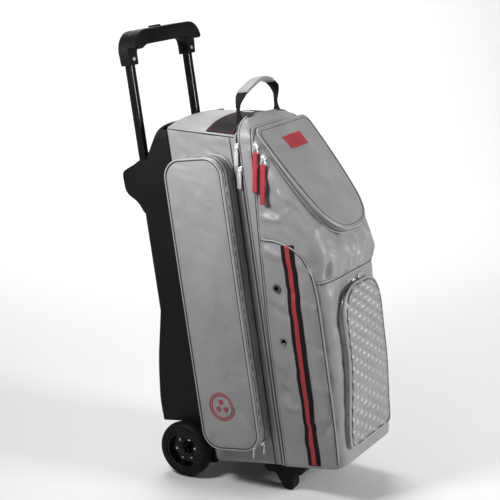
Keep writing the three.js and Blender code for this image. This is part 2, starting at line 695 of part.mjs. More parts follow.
// Sloping lid of the top pocket: a padded panel with a round lower end.
const topLid = onSlope(
  extrude(
    outline([
      [-LID_HALF + 6, LID_HEAD, 20], [LID_HALF - 6, LID_HEAD, 20], [LID_HALF, slopeLength * 0.55, 30],
      [LID_HALF * 0.72, slopeLength + LID_OVERHANG, 62],
      [-LID_HALF * 0.72, slopeLength + LID_OVERHANG, 62], [-LID_HALF, slopeLength * 0.55, 30],
    ]),
    LID_THICKNESS, 5,
  ).translate(0, 0, FIT),
);
piece("top_pocket_lid", topLid, MATERIALS.greyFabric);
const lidHinge = new THREE.BufferGeometry().setFromPoints([new THREE.Vector3(0, LID_HEAD, LID_THICKNESS)]);
axis("top_lid_hinge", onSlope(lidHinge).attributes.position.array, [-1, 0, 0]);

// Quilted lid of the shoe compartment: a shallow tray that opens forward about its foot.
const quiltBack = DOOR_FRONT - FIT;
piece(
  "quilted_lid",
  cut(
    prismY(arch(QUILT.half, QUILT.bottom, QUILT.top, 74, 14), quiltBack - QUILT.depth, quiltBack, 5),
    prismY(
      arch(QUILT.half - QUILT.wall, QUILT.bottom + QUILT.wall, QUILT.top - QUILT.wall, 70, 10),
      quiltBack - QUILT.depth + QUILT.face, quiltBack + 2, 5,
    ),
  ),
  MATERIALS.quiltedFabric,
);
axis("quilted_lid_hinge", [0, quiltBack, QUILT.bottom - 1], [1, 0, 0]);

// ---------------------------------------------------------------- side pockets
const POCKET_BACK = CASE_BACK - 10;
const POCKET_FRONT = CASE_FRONT + 19;
const POCKET_BOTTOM = 14;
const POCKET_TOP = TOP - 76;
const POCKET_CORNER = 40;
const POCKET_WALL = 4;
const sideOutline = (inset) =>
  rectangle(
    POCKET_FRONT + inset, POCKET_BACK - inset, POCKET_BOTTOM + inset, POCKET_TOP - inset,
    POCKET_CORNER - inset,
  );

/** Prism of a (y, z) outline between two distances out from the middle, on one side. */
function sidePrism(shape, sign, near, far) {
  return prismX(shape, sign > 0 ? near : -far, sign > 0 ? far : -near, 8);
}

const shellNear = HALF + FIT;
const shellFar = shellNear + SIDE_POCKET_DEPTH;
const lidNear = shellFar + FIT;
const lidFar = lidNear + SIDE_LID_THICKNESS;
for (const [side, sign] of SIDES) {
  piece(
    `side_pocket_${side}`,
    cut(
      sidePrism(sideOutline(0), sign, shellNear, shellFar),
      sidePrism(sideOutline(POCKET_WALL), sign, shellNear + POCKET_WALL, shellFar + 5),
    ),
    MATERIALS.greyFabric,
  );
  piece(`side_lid_${side}`, sidePrism(sideOutline(0), sign, lidNear, lidFar), MATERIALS.greyFabric);
  axis(`side_lid_hinge_${side}`, [sign * lidNear, POCKET_BACK, POCKET_TOP / 2], [0, 0, sign]);
}

// ---------------------------------------------------------------- carry handle
const CARRY_Y = CASE_FRONT + 12;
const CARRY_HALF = 80;
const CARRY_RISE = 52;
const STRAP = { width: 25, thickness: 4 };
const SLEEVE = 3.5; // wrap around the strap
const ANCHOR = { x: 6, y: 18, height: 13 }; // folded webbing stub that the strap turns on
const CARRY_FOOT = TOP + ANCHOR.height + 2 * FIT;
const FOOT_RADIUS = 6; // the strap is folded narrow where it turns on its anchors

const carryPath = (from, to) => {
  const full = new THREE.CatmullRomCurve3([
    new THREE.Vector3(-CARRY_HALF, CARRY_Y, CARRY_FOOT),
    new THREE.Vector3(-CARRY_HALF - 1, CARRY_Y, CARRY_FOOT + CARRY_RISE * 0.45),
    new THREE.Vector3(-CARRY_HALF * 0.55, CARRY_Y, CARRY_FOOT + CARRY_RISE * 0.88),
    new THREE.Vector3(0, CARRY_Y, CARRY_FOOT + CARRY_RISE),
    new THREE.Vector3(CARRY_HALF * 0.55, CARRY_Y, CARRY_FOOT + CARRY_RISE * 0.88),
    new THREE.Vector3(CARRY_HALF + 1, CARRY_Y, CARRY_FOOT + CARRY_RISE * 0.45),
    new THREE.Vector3(CARRY_HALF, CARRY_Y, CARRY_FOOT),
  ]);
  const points = Array.from({ length: 13 }, (_, i) => full.getPointAt(from + ((to - from) * i) / 12));
  return new THREE.CatmullRomCurve3(points);
};

/** A flat band of webbing swept along the handle's arch, with its width from front to back. */
function band(halfWidth, halfThickness, from, to, steps) {
  const section = rectangle(-halfWidth, halfWidth, -halfThickness, halfThickness);
  return new THREE.ExtrudeGeometry(section, {
    steps, curveSegments: 1, bevelEnabled: false, extrudePath: carryPath(from, to),
  });
}
const footArc = Array.from({ length: 9 }, (_, i) => {
  const angle = Math.PI * (1 + i / 8);
  return [
    CARRY_Y + FOOT_RADIUS * Math.cos(angle), CARRY_FOOT + FOOT_RADIUS * (1 + Math.sin(angle)),
  ];
});
const gathered = outline([
  ...footArc,
  [CARRY_Y + STRAP.width, CARRY_FOOT + 34], [CARRY_Y + STRAP.width, CARRY_FOOT + 2 * CARRY_RISE],
  [CARRY_Y - STRAP.width, CARRY_FOOT + 2 * CARRY_RISE], [CARRY_Y - STRAP.width, CARRY_FOOT + 34],
]);
piece(
  "carry_strap",
  common(
    band(STRAP.width / 2, STRAP.thickness / 2, 0, 1, 20),
    prismX(gathered, -2 * CARRY_HALF, 2 * CARRY_HALF, 6),
  ),
  MATERIALS.blackWebbing,
);
piece(
  "carry_sleeve",
  cut(
    band(STRAP.width / 2 + SLEEVE, STRAP.thickness / 2 + SLEEVE, 0.25, 0.75, 12),
    band(STRAP.width / 2 + FIT, STRAP.thickness / 2 + FIT, 0.2, 0.8, 14),
  ),
  MATERIALS.greyFabric,
);
for (const [side, sign] of SIDES) {
  const x = sign * CARRY_HALF;
  piece(
    `carry_anchor_${side}`,
    prismZ(
      rectangle(x - ANCHOR.x / 2, x + ANCHOR.x / 2, CARRY_Y - ANCHOR.y / 2, CARRY_Y + ANCHOR.y / 2, 2),
      TOP + FIT, TOP + FIT + ANCHOR.height,
    ),
    MATERIALS.blackWebbing,
  );
}
axis("carry_hinge", [0, CARRY_Y, CARRY_FOOT + FOOT_RADIUS], [1, 0, 0]);

// ---------------------------------------------------------------- zip sliders and pulls
const SLIDER = { width: 10, length: 15, height: 5 };
const PULL = { width: 10, length: 40, thickness: 2, root: 5 };
const SHORT_PULL = { ...PULL, width: 6, length: 22 };
const RIBBON = { width: 13, length: 100, thickness: 2, root: 9 };
const PULL_EYE = 1; // tab that stands past its pivot

const DOWN = new THREE.Vector3(0, SIN, -COS); // plumb, in the leaning bag's own frame

/**
 * A slider with its pull. It is drawn with the bag's surface at x = 0, the outside at +x and the zip
 * along Z, then turned so that x follows `out` and z follows `up`. The pull starts at its pivot. It
 * lies plumb against the surface, hangs free of a surface that faces down, or lies along the zip.
 */
function zipPull(name, placing) {
  const { place, out, up = [0, 0, 1], tab = PULL, material = MATERIALS.chrome, lies = "plumb" } = placing;
  const [outward, along] = [new THREE.Vector3(...out), new THREE.Vector3(...up)];
  const across = new THREE.Vector3().crossVectors(along, outward);
  const group = new THREE.Group();
  group.quaternion.setFromRotationMatrix(new THREE.Matrix4().makeBasis(outward, across, along));
  group.position.set(...place);
  const body = outline([
    [-SLIDER.width / 2, -SLIDER.length / 2 + 4, 3], [0, -SLIDER.length / 2, 2],
    [SLIDER.width / 2, -SLIDER.length / 2 + 4, 3], [SLIDER.width / 2, SLIDER.length / 2, 3],
    [-SLIDER.width / 2, SLIDER.length / 2, 3],
  ]);
  piece(`${name}_slider`, prismX(body, FIT, SLIDER.height, 2), MATERIALS.chrome, group);
  const hang = new THREE.Group();
  hang.position.x = SLIDER.height + PULL_EYE * 1.5 + FIT;
  if (lies === "plumb") hang.rotation.x = Math.atan2(DOWN.dot(across), -DOWN.dot(along));
  if (lies === "free") hang.rotation.y = -Math.atan2(DOWN.dot(outward), -DOWN.dot(along));
  const strip = outline([
    [-tab.width / 2, -tab.length, 3], [tab.width / 2, -tab.length, 3], [tab.width / 2, -tab.root - 4, 2],
    [tab.width * 0.3, -tab.root, 2], [tab.width * 0.3, PULL_EYE], [-tab.width * 0.3, PULL_EYE],
    [-tab.width * 0.3, -tab.root, 2], [-tab.width / 2, -tab.root - 4, 2],
  ]);
  piece(`${name}_pull`, prismX(strip, -tab.thickness / 2, tab.thickness / 2, 2), material, hang);
  axis(`${name}_run`, [0, 0, 0], [0, 0, 1], group);
  axis(`${name}_swing`, [0, 0, 0], [0, -1, 0], hang);
  group.add(hang);
  bag.add(group);
}

const LEFT = [-1, 0, 0];
const seam = DOOR_BACK + DOOR_GAP / 2;
zipPull("main_zip_upper", { place: [-HALF, seam, TOP - 63], out: LEFT });
zipPull("main_zip_lower", { place: [-HALF, seam, TOP - 112], out: LEFT });

/** A point on the door's left side, behind the lid's edge and a distance down the slope. */
const besideLid = (down) => [
  -HALF, SLOPE_TOP[0] + (slope.x * down) / slopeLength + 4, SLOPE_TOP[1] + (slope.y * down) / slopeLength,
];
const upSlope = [0, -slope.x / slopeLength, -slope.y / slopeLength];
const ribbon = { out: LEFT, up: upSlope, tab: RIBBON, material: MATERIALS.redWebbing };
zipPull("top_zip_upper", { place: besideLid(46), ...ribbon });
zipPull("top_zip_lower", { place: besideLid(76), ...ribbon });

// The side pocket's two sliders meet at its lower front corner: one halfway round, one past it.
const roundCorner = POCKET_CORNER / 4;
const pocketMiddle = shellNear + SIDE_POCKET_DEPTH / 2;
for (const [side, sign] of SIDES) {
  zipPull(`shoe_zip_${side}`, {
    place: [sign * 14, quiltBack - QUILT.depth / 2, QUILT.top], out: [0, 0, 1], up: [-sign, 0, 0],
    tab: SHORT_PULL, lies: "along",
  });
  zipPull(`side_zip_${side}_front`, {
    place: [sign * pocketMiddle, POCKET_FRONT + roundCorner, POCKET_BOTTOM + roundCorner],
    out: [0, -Math.SQRT1_2, -Math.SQRT1_2], up: [0, -Math.SQRT1_2, Math.SQRT1_2],
    tab: SHORT_PULL, lies: "free",
  });
  zipPull(`side_zip_${side}_rear`, {
    place: [sign * pocketMiddle, POCKET_FRONT + POCKET_CORNER * 0.85, POCKET_BOTTOM],
    out: [0, 0, -1], up: [0, 1, 0], tab: SHORT_PULL, lies: "free",
  });
}

// ---------------------------------------------------------------- stand the bag on its base
bag.rotation.x = -LEAN;
const root = new THREE.Group();
root.add(bag);
root.updateMatrixWorld(true);
const box = new THREE.Box3().setFromObject(root, true);
bag.position.set(
  -(box.min.x + box.max.x) / 2,
  -(box.min.y + box.max.y) / 2,
  -box.min.z,
);
root.updateMatrixWorld(true);

export default root;
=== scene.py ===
import json
import math

import bmesh
import bpy
import numpy as np
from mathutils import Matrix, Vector


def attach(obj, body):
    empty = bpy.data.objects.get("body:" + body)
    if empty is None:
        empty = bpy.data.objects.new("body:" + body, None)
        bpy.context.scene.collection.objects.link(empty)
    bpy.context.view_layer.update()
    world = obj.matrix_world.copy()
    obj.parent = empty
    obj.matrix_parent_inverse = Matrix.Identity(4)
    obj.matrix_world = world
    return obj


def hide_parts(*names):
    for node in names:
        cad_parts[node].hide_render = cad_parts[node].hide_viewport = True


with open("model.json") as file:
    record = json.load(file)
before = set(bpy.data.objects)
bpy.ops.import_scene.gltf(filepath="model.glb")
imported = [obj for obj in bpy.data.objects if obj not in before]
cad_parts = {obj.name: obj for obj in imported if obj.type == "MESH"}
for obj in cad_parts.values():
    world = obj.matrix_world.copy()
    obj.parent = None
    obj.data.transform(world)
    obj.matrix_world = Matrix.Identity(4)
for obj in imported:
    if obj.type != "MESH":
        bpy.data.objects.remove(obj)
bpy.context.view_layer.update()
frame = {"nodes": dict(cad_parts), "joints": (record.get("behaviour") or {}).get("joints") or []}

# ------------------------------------------------------------------ camera
# The bag is seen from its front left, a little above its middle, from about three metres.
VIEW_AZIMUTH, VIEW_ELEVATION = math.radians(59.4), math.radians(15.6)
VIEW_DISTANCE = 3.1758
VIEW_CENTRE = Vector((0.0244, 0.053, 0.496))
LENS = 101.45

camera = bpy.data.objects.new("camera", bpy.data.cameras.new("camera"))
camera.data.lens = LENS
camera.data.clip_end = 50
bpy.context.scene.collection.objects.link(camera)
bpy.context.scene.camera = camera
towards_camera = Vector((
    -math.sin(VIEW_AZIMUTH) * math.cos(VIEW_ELEVATION),
    -math.cos(VIEW_AZIMUTH) * math.cos(VIEW_ELEVATION),
    math.sin(VIEW_ELEVATION),
))
camera.location = VIEW_CENTRE + towards_camera * VIEW_DISTANCE
camera.rotation_euler = (-towards_camera).to_track_quat("-Z", "Y").to_euler()

# ------------------------------------------------------------------ floor and light
# White studio paper that sweeps up behind the bag, a key lamp in front, a small lamp beside the bag
# and a wide one on the paper behind it.


def plain_material(name, colour, roughness, metallic=0.0):
    """A material with one shader, and its node tree ready for more nodes."""
    made = bpy.data.materials.new(name)
    made.use_nodes = True
    shader = made.node_tree.nodes["Principled BSDF"]
    shader.inputs["Base Color"].default_value = (*colour, 1)
    shader.inputs["Roughness"].default_value = roughness
    shader.inputs["Metallic"].default_value = metallic
    return made


def lamp(name, place, aim, size, power):
    """A square area lamp that faces a point."""
    light = bpy.data.lights.new(name, "AREA")
    light.size, light.energy = size, power
    holder = bpy.data.objects.new(name, light)
    bpy.context.scene.collection.objects.link(holder)
    holder.location = place
    holder.rotation_euler = (Vector(aim) - Vector(place)).to_track_quat("-Z", "Y").to_euler()


FLOOR_NEAR, WALL_FAR, COVE, WALL_TOP, PAPER_HALF = 6.0, 3.0, 1.2, 5.0, 7.0
WHITE_PAPER, PAPER_ROUGHNESS = (0.66, 0.66, 0.66), 0.9
WORLD_STRENGTH = 0.07
cove = np.linspace(0, np.pi / 2, 16)
sweep_out = np.concatenate([[-FLOOR_NEAR], WALL_FAR + COVE * np.sin(cove), [WALL_FAR + COVE]])
sweep_up = np.concatenate([[0], COVE * (1 - np.cos(cove)), [WALL_TOP]])
away = np.array([math.sin(VIEW_AZIMUTH), math.cos(VIEW_AZIMUTH)])
sideways = np.array([away[1], -away[0]])
floor_points = [(*(away * out + sideways * beside), up)
                for beside in (-PAPER_HALF, PAPER_HALF) for out, up in zip(sweep_out, sweep_up)]
floor_rows = len(sweep_out)
floor_mesh = bpy.data.meshes.new("floor")
floor_mesh.from_pydata(
    floor_points, [], [(i, i + 1, i + 1 + floor_rows, i + floor_rows) for i in range(floor_rows - 1)],
)
floor_mesh.shade_smooth()
floor = bpy.data.objects.new("floor", floor_mesh)
floor_mesh.materials.append(plain_material("floor_paper", WHITE_PAPER, PAPER_ROUGHNESS))
bpy.context.scene.collection.objects.link(floor)
world = bpy.data.worlds.new("studio")
world.use_nodes = True
world.node_tree.nodes["Background"].inputs["Color"].default_value = (1, 1, 1, 1)
world.node_tree.nodes["Background"].inputs["Strength"].default_value = WORLD_STRENGTH
bpy.context.scene.world = world
lamp("front", (0.35, -2.2, 1.1), (0, -0.1, 0.55), 0.6, 46)
lamp("side", (-0.8, 0.3, 1.15), (-0.17, 0.0, 0.85), 0.3, 13)
lamp("backdrop", (1.6, 1.4, 3.8), (3.4, 2.2, 0.9), 2.0, 220)
bpy.context.scene.view_settings.view_transform = "Standard"

# ------------------------------------------------------------------ the leaning bag
# Every size below is in the bag's own millimetres: x across, y towards the back, z up the board,
# from the middle of the axle. The handle slides straight up the board, so its axis gives the lean.
MM = 0.001
joints = {joint["name"]: joint for joint in frame["joints"]}
ACROSS = np.array([1.0, 0, 0])
UP = np.array(joints["handle_slide"]["axis"])
BACK = np.cross(UP, ACROSS)
AXLE = np.array(joints["wheel_left_spin"]["pos_m"]) * [0, 1, 1]


def stand(x, y, z):
    """Bag millimetres to the row frame's metres: the axle's place plus x, y and z along its axes."""
    x, y, z = (np.asarray(v, float)[..., None] for v in np.broadcast_arrays(x, y, z))
    return AXLE + (x * ACROSS + y * BACK + z * UP) * MM


def extent(*nodes):
    """Lowest and highest x, y and z of some CAD nodes, in bag millimetres."""
    points = np.concatenate([[v.co for v in frame["nodes"][n].data.vertices] for n in nodes])
    own = (points - AXLE) @ np.array([ACROSS, BACK, UP]).T / MM
    return own.min(0), own.max(0)


# ------------------------------------------------------------------ hard parts from the CAD
# The board, foot and grip are injection moulded in black polypropylene with a fine grain, and the
# tubes are black anodised aluminium. Their edges are eased, as moulding and drawing leave them.


def noise_into(made, socket, scale, low, high, detail=4.0):
    """Feeds a shader socket with noise that runs between two values."""
    nodes, links = made.node_tree.nodes, made.node_tree.links
    place = nodes.new("ShaderNodeTexCoord")
    noise = nodes.new("ShaderNodeTexNoise")
    noise.inputs["Scale"].default_value = scale
    noise.inputs["Detail"].default_value = detail
    ramp = nodes.new("ShaderNodeMapRange")
    ramp.inputs["From Min"].default_value, ramp.inputs["From Max"].default_value = 0.3, 0.7
    ramp.inputs["To Min"].default_value, ramp.inputs["To Max"].default_value = low, high
    links.new(place.outputs["Object"], noise.inputs["Vector"])
    links.new(noise.outputs["Fac"], ramp.inputs["Value"])
    links.new(ramp.outputs["Result"], nodes["Principled BSDF"].inputs[socket])


def mottle(made, colour, spread, scale):
    """Base colour that drifts between a darker and a lighter tone."""
    nodes, links = made.node_tree.nodes, made.node_tree.links
    place = nodes.new("ShaderNodeTexCoord")
    noise = nodes.new("ShaderNodeTexNoise")
    noise.inputs["Scale"].default_value = scale
    noise.inputs["Detail"].default_value = 6
    ramp = nodes.new("ShaderNodeValToRGB")
    ramp.color_ramp.elements[0].position, ramp.color_ramp.elements[1].position = 0.32, 0.68
    ramp.color_ramp.elements[0].color = (*(c * (1 - spread) for c in colour), 1)
    ramp.color_ramp.elements[1].color = (*(c * (1 + spread) for c in colour), 1)
    links.new(place.outputs["Object"], noise.inputs["Vector"])
    links.new(noise.outputs["Fac"], ramp.inputs["Fac"])
    links.new(ramp.outputs["Color"], nodes["Principled BSDF"].inputs["Base Color"])


def bump_from(made, height, depth, strength=0.18):
    """Adds a height output to the shader's bump, on top of any bump it has."""
    nodes, links = made.node_tree.nodes, made.node_tree.links
    bump = nodes.new("ShaderNodeBump")
    bump.inputs["Distance"].default_value = depth
    bump.inputs["Strength"].default_value = strength
    normal = nodes["Principled BSDF"].inputs["Normal"]
    if normal.is_linked:
        links.new(normal.links[0].from_socket, bump.inputs["Normal"])
    links.new(height, bump.inputs["Height"])
    links.new(bump.outputs["Normal"], normal)


def grain(made, scale, depth):
    """Fine moulded grain, as bump."""
    nodes, links = made.node_tree.nodes, made.node_tree.links
    place = nodes.new("ShaderNodeTexCoord")
    noise = nodes.new("ShaderNodeTexNoise")
    noise.inputs["Scale"].default_value = scale
    noise.inputs["Detail"].default_value = 3
    links.new(place.outputs["Object"], noise.inputs["Vector"])
    bump_from(made, noise.outputs["Fac"], depth)


def moulded(name, colour, roughness):
    """Moulded plastic or rubber: a low shine, uneven a little, over a fine grain."""
    made = plain_material(name, colour, roughness)
    made.node_tree.nodes["Principled BSDF"].inputs["Specular IOR Level"].default_value = 0.16
    mottle(made, colour, 0.18, 9)
    noise_into(made, "Roughness", 14, roughness - 0.07, roughness + 0.1)
    grain(made, 1400, 0.00012)
    return made


def metal(name, colour, roughness):
    """Plated or cast metal with faint wear."""
    made = plain_material(name, colour, roughness, 1.0)
    noise_into(made, "Roughness", 60, roughness * 0.8, roughness * 1.5)
    grain(made, 900, 0.00003)
    return made


board_plastic = moulded("board_plastic", (0.005, 0.005, 0.0055), 0.55)
grip_plastic = moulded("grip_plastic", (0.006, 0.006, 0.0065), 0.36)
tube_black = plain_material("tube_black", (0.004, 0.004, 0.0045), 0.16)
noise_into(tube_black, "Roughness", 30, 0.14, 0.3)
grain(tube_black, 300, 0.00003)
chrome = metal("slider_chrome", (0.88, 0.89, 0.9), 0.22)
chrome.node_tree.nodes["Principled BSDF"].inputs["Metallic"].default_value = 0.6
zinc = metal("zinc", (0.55, 0.56, 0.58), 0.28)
gunmetal = metal("gunmetal", (0.22, 0.22, 0.23), 0.22)


# points closer than this are one, and faces that turn less than the first angle are one face
SAME_PLACE = 0.02 * MM
ONE_PLANE, CREASE, EDGE = (math.radians(angle) for angle in (1, 34, 40))


def link(mesh):
    """Puts a mesh in the scene, as an object of the same name."""
    made = bpy.data.objects.new(mesh.name, mesh)
    bpy.context.scene.collection.objects.link(made)
    return made


def eased(node, body, material, width=1.0, segments=2):
    """A CAD node's own shape with its facets merged and its edges rounded, in place of the node."""
    mesh = frame["nodes"][node].data.copy()
    mesh.name = node + "_eased"
    shape = bmesh.new()
    shape.from_mesh(mesh)
    bmesh.ops.remove_doubles(shape, verts=shape.verts, dist=SAME_PLACE)
    bmesh.ops.dissolve_limit(shape, angle_limit=ONE_PLANE, verts=shape.verts, edges=shape.edges)
    shape.to_mesh(mesh)
    shape.free()
    mesh.materials.clear()
    mesh.materials.append(material)
    mesh.shade_smooth()
    mesh.set_sharp_from_angle(angle=CREASE)
    made = link(mesh)
    bevel = made.modifiers.new("eased", "BEVEL")
    bevel.width, bevel.segments = width * MM, segments
    bevel.limit_method, bevel.angle_limit = "ANGLE", EDGE
    bevel.harden_normals = True
    bevel.use_clamp_overlap = True
    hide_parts(node)
    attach(made, body)
    return made


SIDES = (("left", -1), ("right", 1))
eased("back_board", "bag", board_plastic, 2.2, 3)
eased("front_foot", "bag", board_plastic, 2.0, 3)
eased("grip_front_shell", "handle", grip_plastic, 4.0, 4)
eased("grip_rear_shell", "handle", grip_plastic, 2.5, 3)
eased("grip_button", "release", grip_plastic, 1.2, 3)
eased("release_rod", "release", zinc, 0.3)
eased("axle", "bag", zinc, 0.4)
for side, _ in SIDES:
    eased(f"outer_tube_{side}", "bag", tube_black, 0.5)
    eased(f"inner_tube_{side}", "handle", tube_black, 0.5)
    eased(f"grip_rivet_{side}", "handle", chrome, 0.6, 3)
    eased(f"axle_cap_{side}", "bag", grip_plastic, 1.0, 3)
    eased(f"wheel_washer_{side}", "bag", zinc, 0.2)

# ------------------------------------------------------------------ surfaces from grids
# Sewn and turned pieces are grids of points. These helpers are shared by the wheels and the cloth.


def cell_uv(points, around):
    """Distance along the grid's columns and down its rows, in metres, at each cell's corners."""
    across = np.linalg.norm(np.diff(points, axis=1), axis=2).mean(0)
    if around:
        across = np.append(across, np.linalg.norm(points[:, 0] - points[:, -1], axis=1).mean())
    down = np.linalg.norm(np.diff(points, axis=0), axis=2).mean(1)
    return np.append(0, across.cumsum()), np.append(0, down.cumsum())


def surface(name, x, y, z, material, around=False, keep=None, cloth=None):
    """Mesh of a grid of bag millimetres, rows by columns. `around` joins its last column to its
    first, and `keep` says which cells stay. Its UV map holds metres along the cloth: `cloth`, a pair of
    grids in millimetres, or the distances along its rows and columns."""
    points = stand(x, y, z)
    rows, columns = points.shape[:2]
    row, column = np.mgrid[: rows - 1, : columns if around else columns - 1]
    nxt = (column + 1) % columns
    quads = np.stack([row * columns + column, row * columns + nxt,
                      (row + 1) * columns + nxt, (row + 1) * columns + column], -1)
    if cloth is None:
        u, v = np.meshgrid(*cell_uv(points, around))
    else:
        u, v = (np.concatenate([c, c[:, :1]], 1) * MM if around else c * MM for c in cloth)
    flat = np.stack([u, v], -1)
    corners = np.stack([flat[:-1, :-1], flat[:-1, 1:], flat[1:, 1:], flat[1:, :-1]], 2)
    kept = np.ones(row.shape, bool) if keep is None else keep
    mesh = bpy.data.meshes.new(name)
    mesh.from_pydata(points.reshape(-1, 3), [], quads[kept].tolist())
    mesh.uv_layers.new(name="cloth").data.foreach_set("uv", corners[kept].ravel())
    mesh.materials.append(material)
    mesh.shade_smooth()
    return link(mesh)


def face_out(made, centre):
    """Turns a shell's faces away from a point inside it, given in bag millimetres."""
    mesh = made.data
    middle = np.empty(len(mesh.polygons) * 3)
    normal = np.empty_like(middle)
    mesh.polygons.foreach_get("center", middle)
    mesh.polygons.foreach_get("normal", normal)
    away = middle.reshape(-1, 3) - stand(*centre)
    if np.einsum("ij,ij->i", away, normal.reshape(-1, 3)).sum() < 0:
        mesh.flip_normals()
    return made


def thicken(made, thickness, offset=-1.0):
    """Gives a sheet its cloth's thickness."""
    wall = made.modifiers.new("cloth thickness", "SOLIDIFY")
    wall.thickness, wall.offset = thickness * MM, offset
    return wall


def seal(made):
    """Merges doubled points and turns every face of a closed piece outwards."""
    shape = bmesh.new()
    shape.from_mesh(made.data)
    bmesh.ops.remove_doubles(shape, verts=shape.verts, dist=0.01 * MM)
    bmesh.ops.recalc_face_normals(shape, faces=shape.faces)
    shape.to_mesh(made.data)
    shape.free()
    return made


def settle(made, body, slot, *nodes):
    """Says which body a piece moves with and which CAD nodes it stands for, and hides those nodes. Its `slot`
    is not used.
    """
    if nodes:
        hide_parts(*nodes)
    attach(made, body)
    return made


def swept(name, path, radius, material, closed=False, sides=8):
    """Round cord along a path of bag millimetres: a ring of points square to the path at each of its
    points, carried along without twist."""
    path = np.asarray(path, float)
    ahead = np.roll(path, -1, 0) - np.roll(path, 1, 0)
    if not closed:
        ahead[0], ahead[-1] = path[1] - path[0], path[-1] - path[-2]
    ahead /= np.linalg.norm(ahead, axis=1)[:, None]
    # the side direction starts square to the path and is carried from point to point
    side = np.empty_like(path)
    start = np.cross(ahead[0], (0, 0, 1) if abs(ahead[0][2]) < 0.9 else (0, 1, 0))
    side[0] = start / np.linalg.norm(start)
    for i in range(1, len(path)):
        carried = side[i - 1] - ahead[i] * (side[i - 1] @ ahead[i])
        side[i] = carried / np.linalg.norm(carried)
    other = np.cross(ahead, side)
    turn = np.linspace(0, 2 * np.pi, sides, endpoint=False)
    ring = (path[:, None] + radius * (np.cos(turn)[None, :, None] * side[:, None]
            + np.sin(turn)[None, :, None] * other[:, None]))
    if closed:
        ring = np.concatenate([ring, ring[:1]])
    else:
        first, last = (np.repeat(path[None, end], sides, 1) for end in (slice(0, 1), slice(-1, None)))
        ring = np.concatenate([first, ring, last])
    made = surface(name, ring[..., 0], ring[..., 1], ring[..., 2], material, around=True)
    return seal(made)


def through(points, count, closed=False):
    """Smooth path through some points: Catmull-Rom, sampled evenly by length."""
    points = np.asarray(points, float)
    if closed:
        ring = np.concatenate([points[-1:], points, points[:2]])
    else:
        ring = np.concatenate([2 * points[:1] - points[1:2], points, 2 * points[-1:] - points[-2:-1]])
    t = np.linspace(0, 1, 24, endpoint=False)[:, None]
    a, b, c, d = (ring[i:len(ring) - 3 + i, None] for i in range(4))
    curve = 0.5 * (2 * b + (c - a) * t + (2 * a - 5 * b + 4 * c - d) * t**2 + (3 * b - a - 3 * c + d) * t**3)
    curve = curve.reshape(-1, points.shape[1])
    curve = np.concatenate([curve, points[:1] if closed else points[-1:]])
    return resample(curve, count)


def resample(curve, count):
    """A path's points again, evenly spaced along it."""
    run = np.append(0, np.linalg.norm(np.diff(curve, axis=0), axis=1).cumsum())
    at = np.linspace(0, run[-1], count)
    return np.stack([np.interp(at, run, curve[:, k]) for k in range(curve.shape[1])], -1)


def ring_of(half_u, low_v, high_v, low_radius, high_radius, step=3.0):
    """Rounded rectangle as a closed path of (u, v), sampled evenly, without its last point."""
    corners = [(half_u, low_v, low_radius, -90), (half_u, high_v, high_radius, 0),
               (-half_u, high_v, high_radius, 90), (-half_u, low_v, low_radius, 180)]
    points = []
    for u, v, radius, begin in corners:
        turn = np.radians(np.linspace(begin, begin + 90, 12))
        centre_u = u - math.copysign(radius, u)
        centre_v = v + radius if v == low_v else v - radius
        points.append(np.stack([centre_u + radius * np.cos(turn), centre_v + radius * np.sin(turn)], -1))
    path = np.concatenate(points)
    path = np.concatenate([path, path[:1]])
    length = np.linalg.norm(np.diff(path, axis=0), axis=1).sum()
    return resample(path, max(int(length / step), 12))[:-1]


# ------------------------------------------------------------------ wheels
# Solid black polyurethane tyres on glossy six-spoke rims, turned from a profile. Each rim has a ring
# of small bright screws round its hub.
WHEEL_RADIUS = 63.5
tyre_low, tyre_high = extent("wheel_tyre_right")
TYRE_WIDTH = tyre_high[0] - tyre_low[0]
TREAD_CROWN, TREAD_TURN = 11, math.radians(78)
RIM_SEAT = 43.5
SCREW_COUNT, SCREW_CIRCLE, SCREW_RADIUS, SCREW_DEPTH = 6, 24, 2.4, 14.2
# the dished web behind the spokes, as radii and places along the axle
WEB_RADIUS = np.array([11.0, 20, 34, 43, 43, 34, 20, 11])
WEB_ALONG = np.array([-1, 1.5, 1.5, -1, -3, -0.5, -0.5, -3])
tyre_rubber = moulded("tyre_rubber", (0.004, 0.004, 0.004), 0.6)
rim_black = moulded("rim_black", (0.003, 0.003, 0.0032), 0.22)


def turned(name, radius, along, centre_x, material, steps=96):
    """Closed profile of radii and places along the axle, turned about it."""
    angle = np.linspace(0, 2 * np.pi, steps + 1)[:, None]
    radius, along = np.append(radius, radius[0]), np.append(along, along[0])
    made = surface(name, centre_x + along + 0 * angle, radius * np.cos(angle), radius * np.sin(angle),
                   material)
    return seal(made)


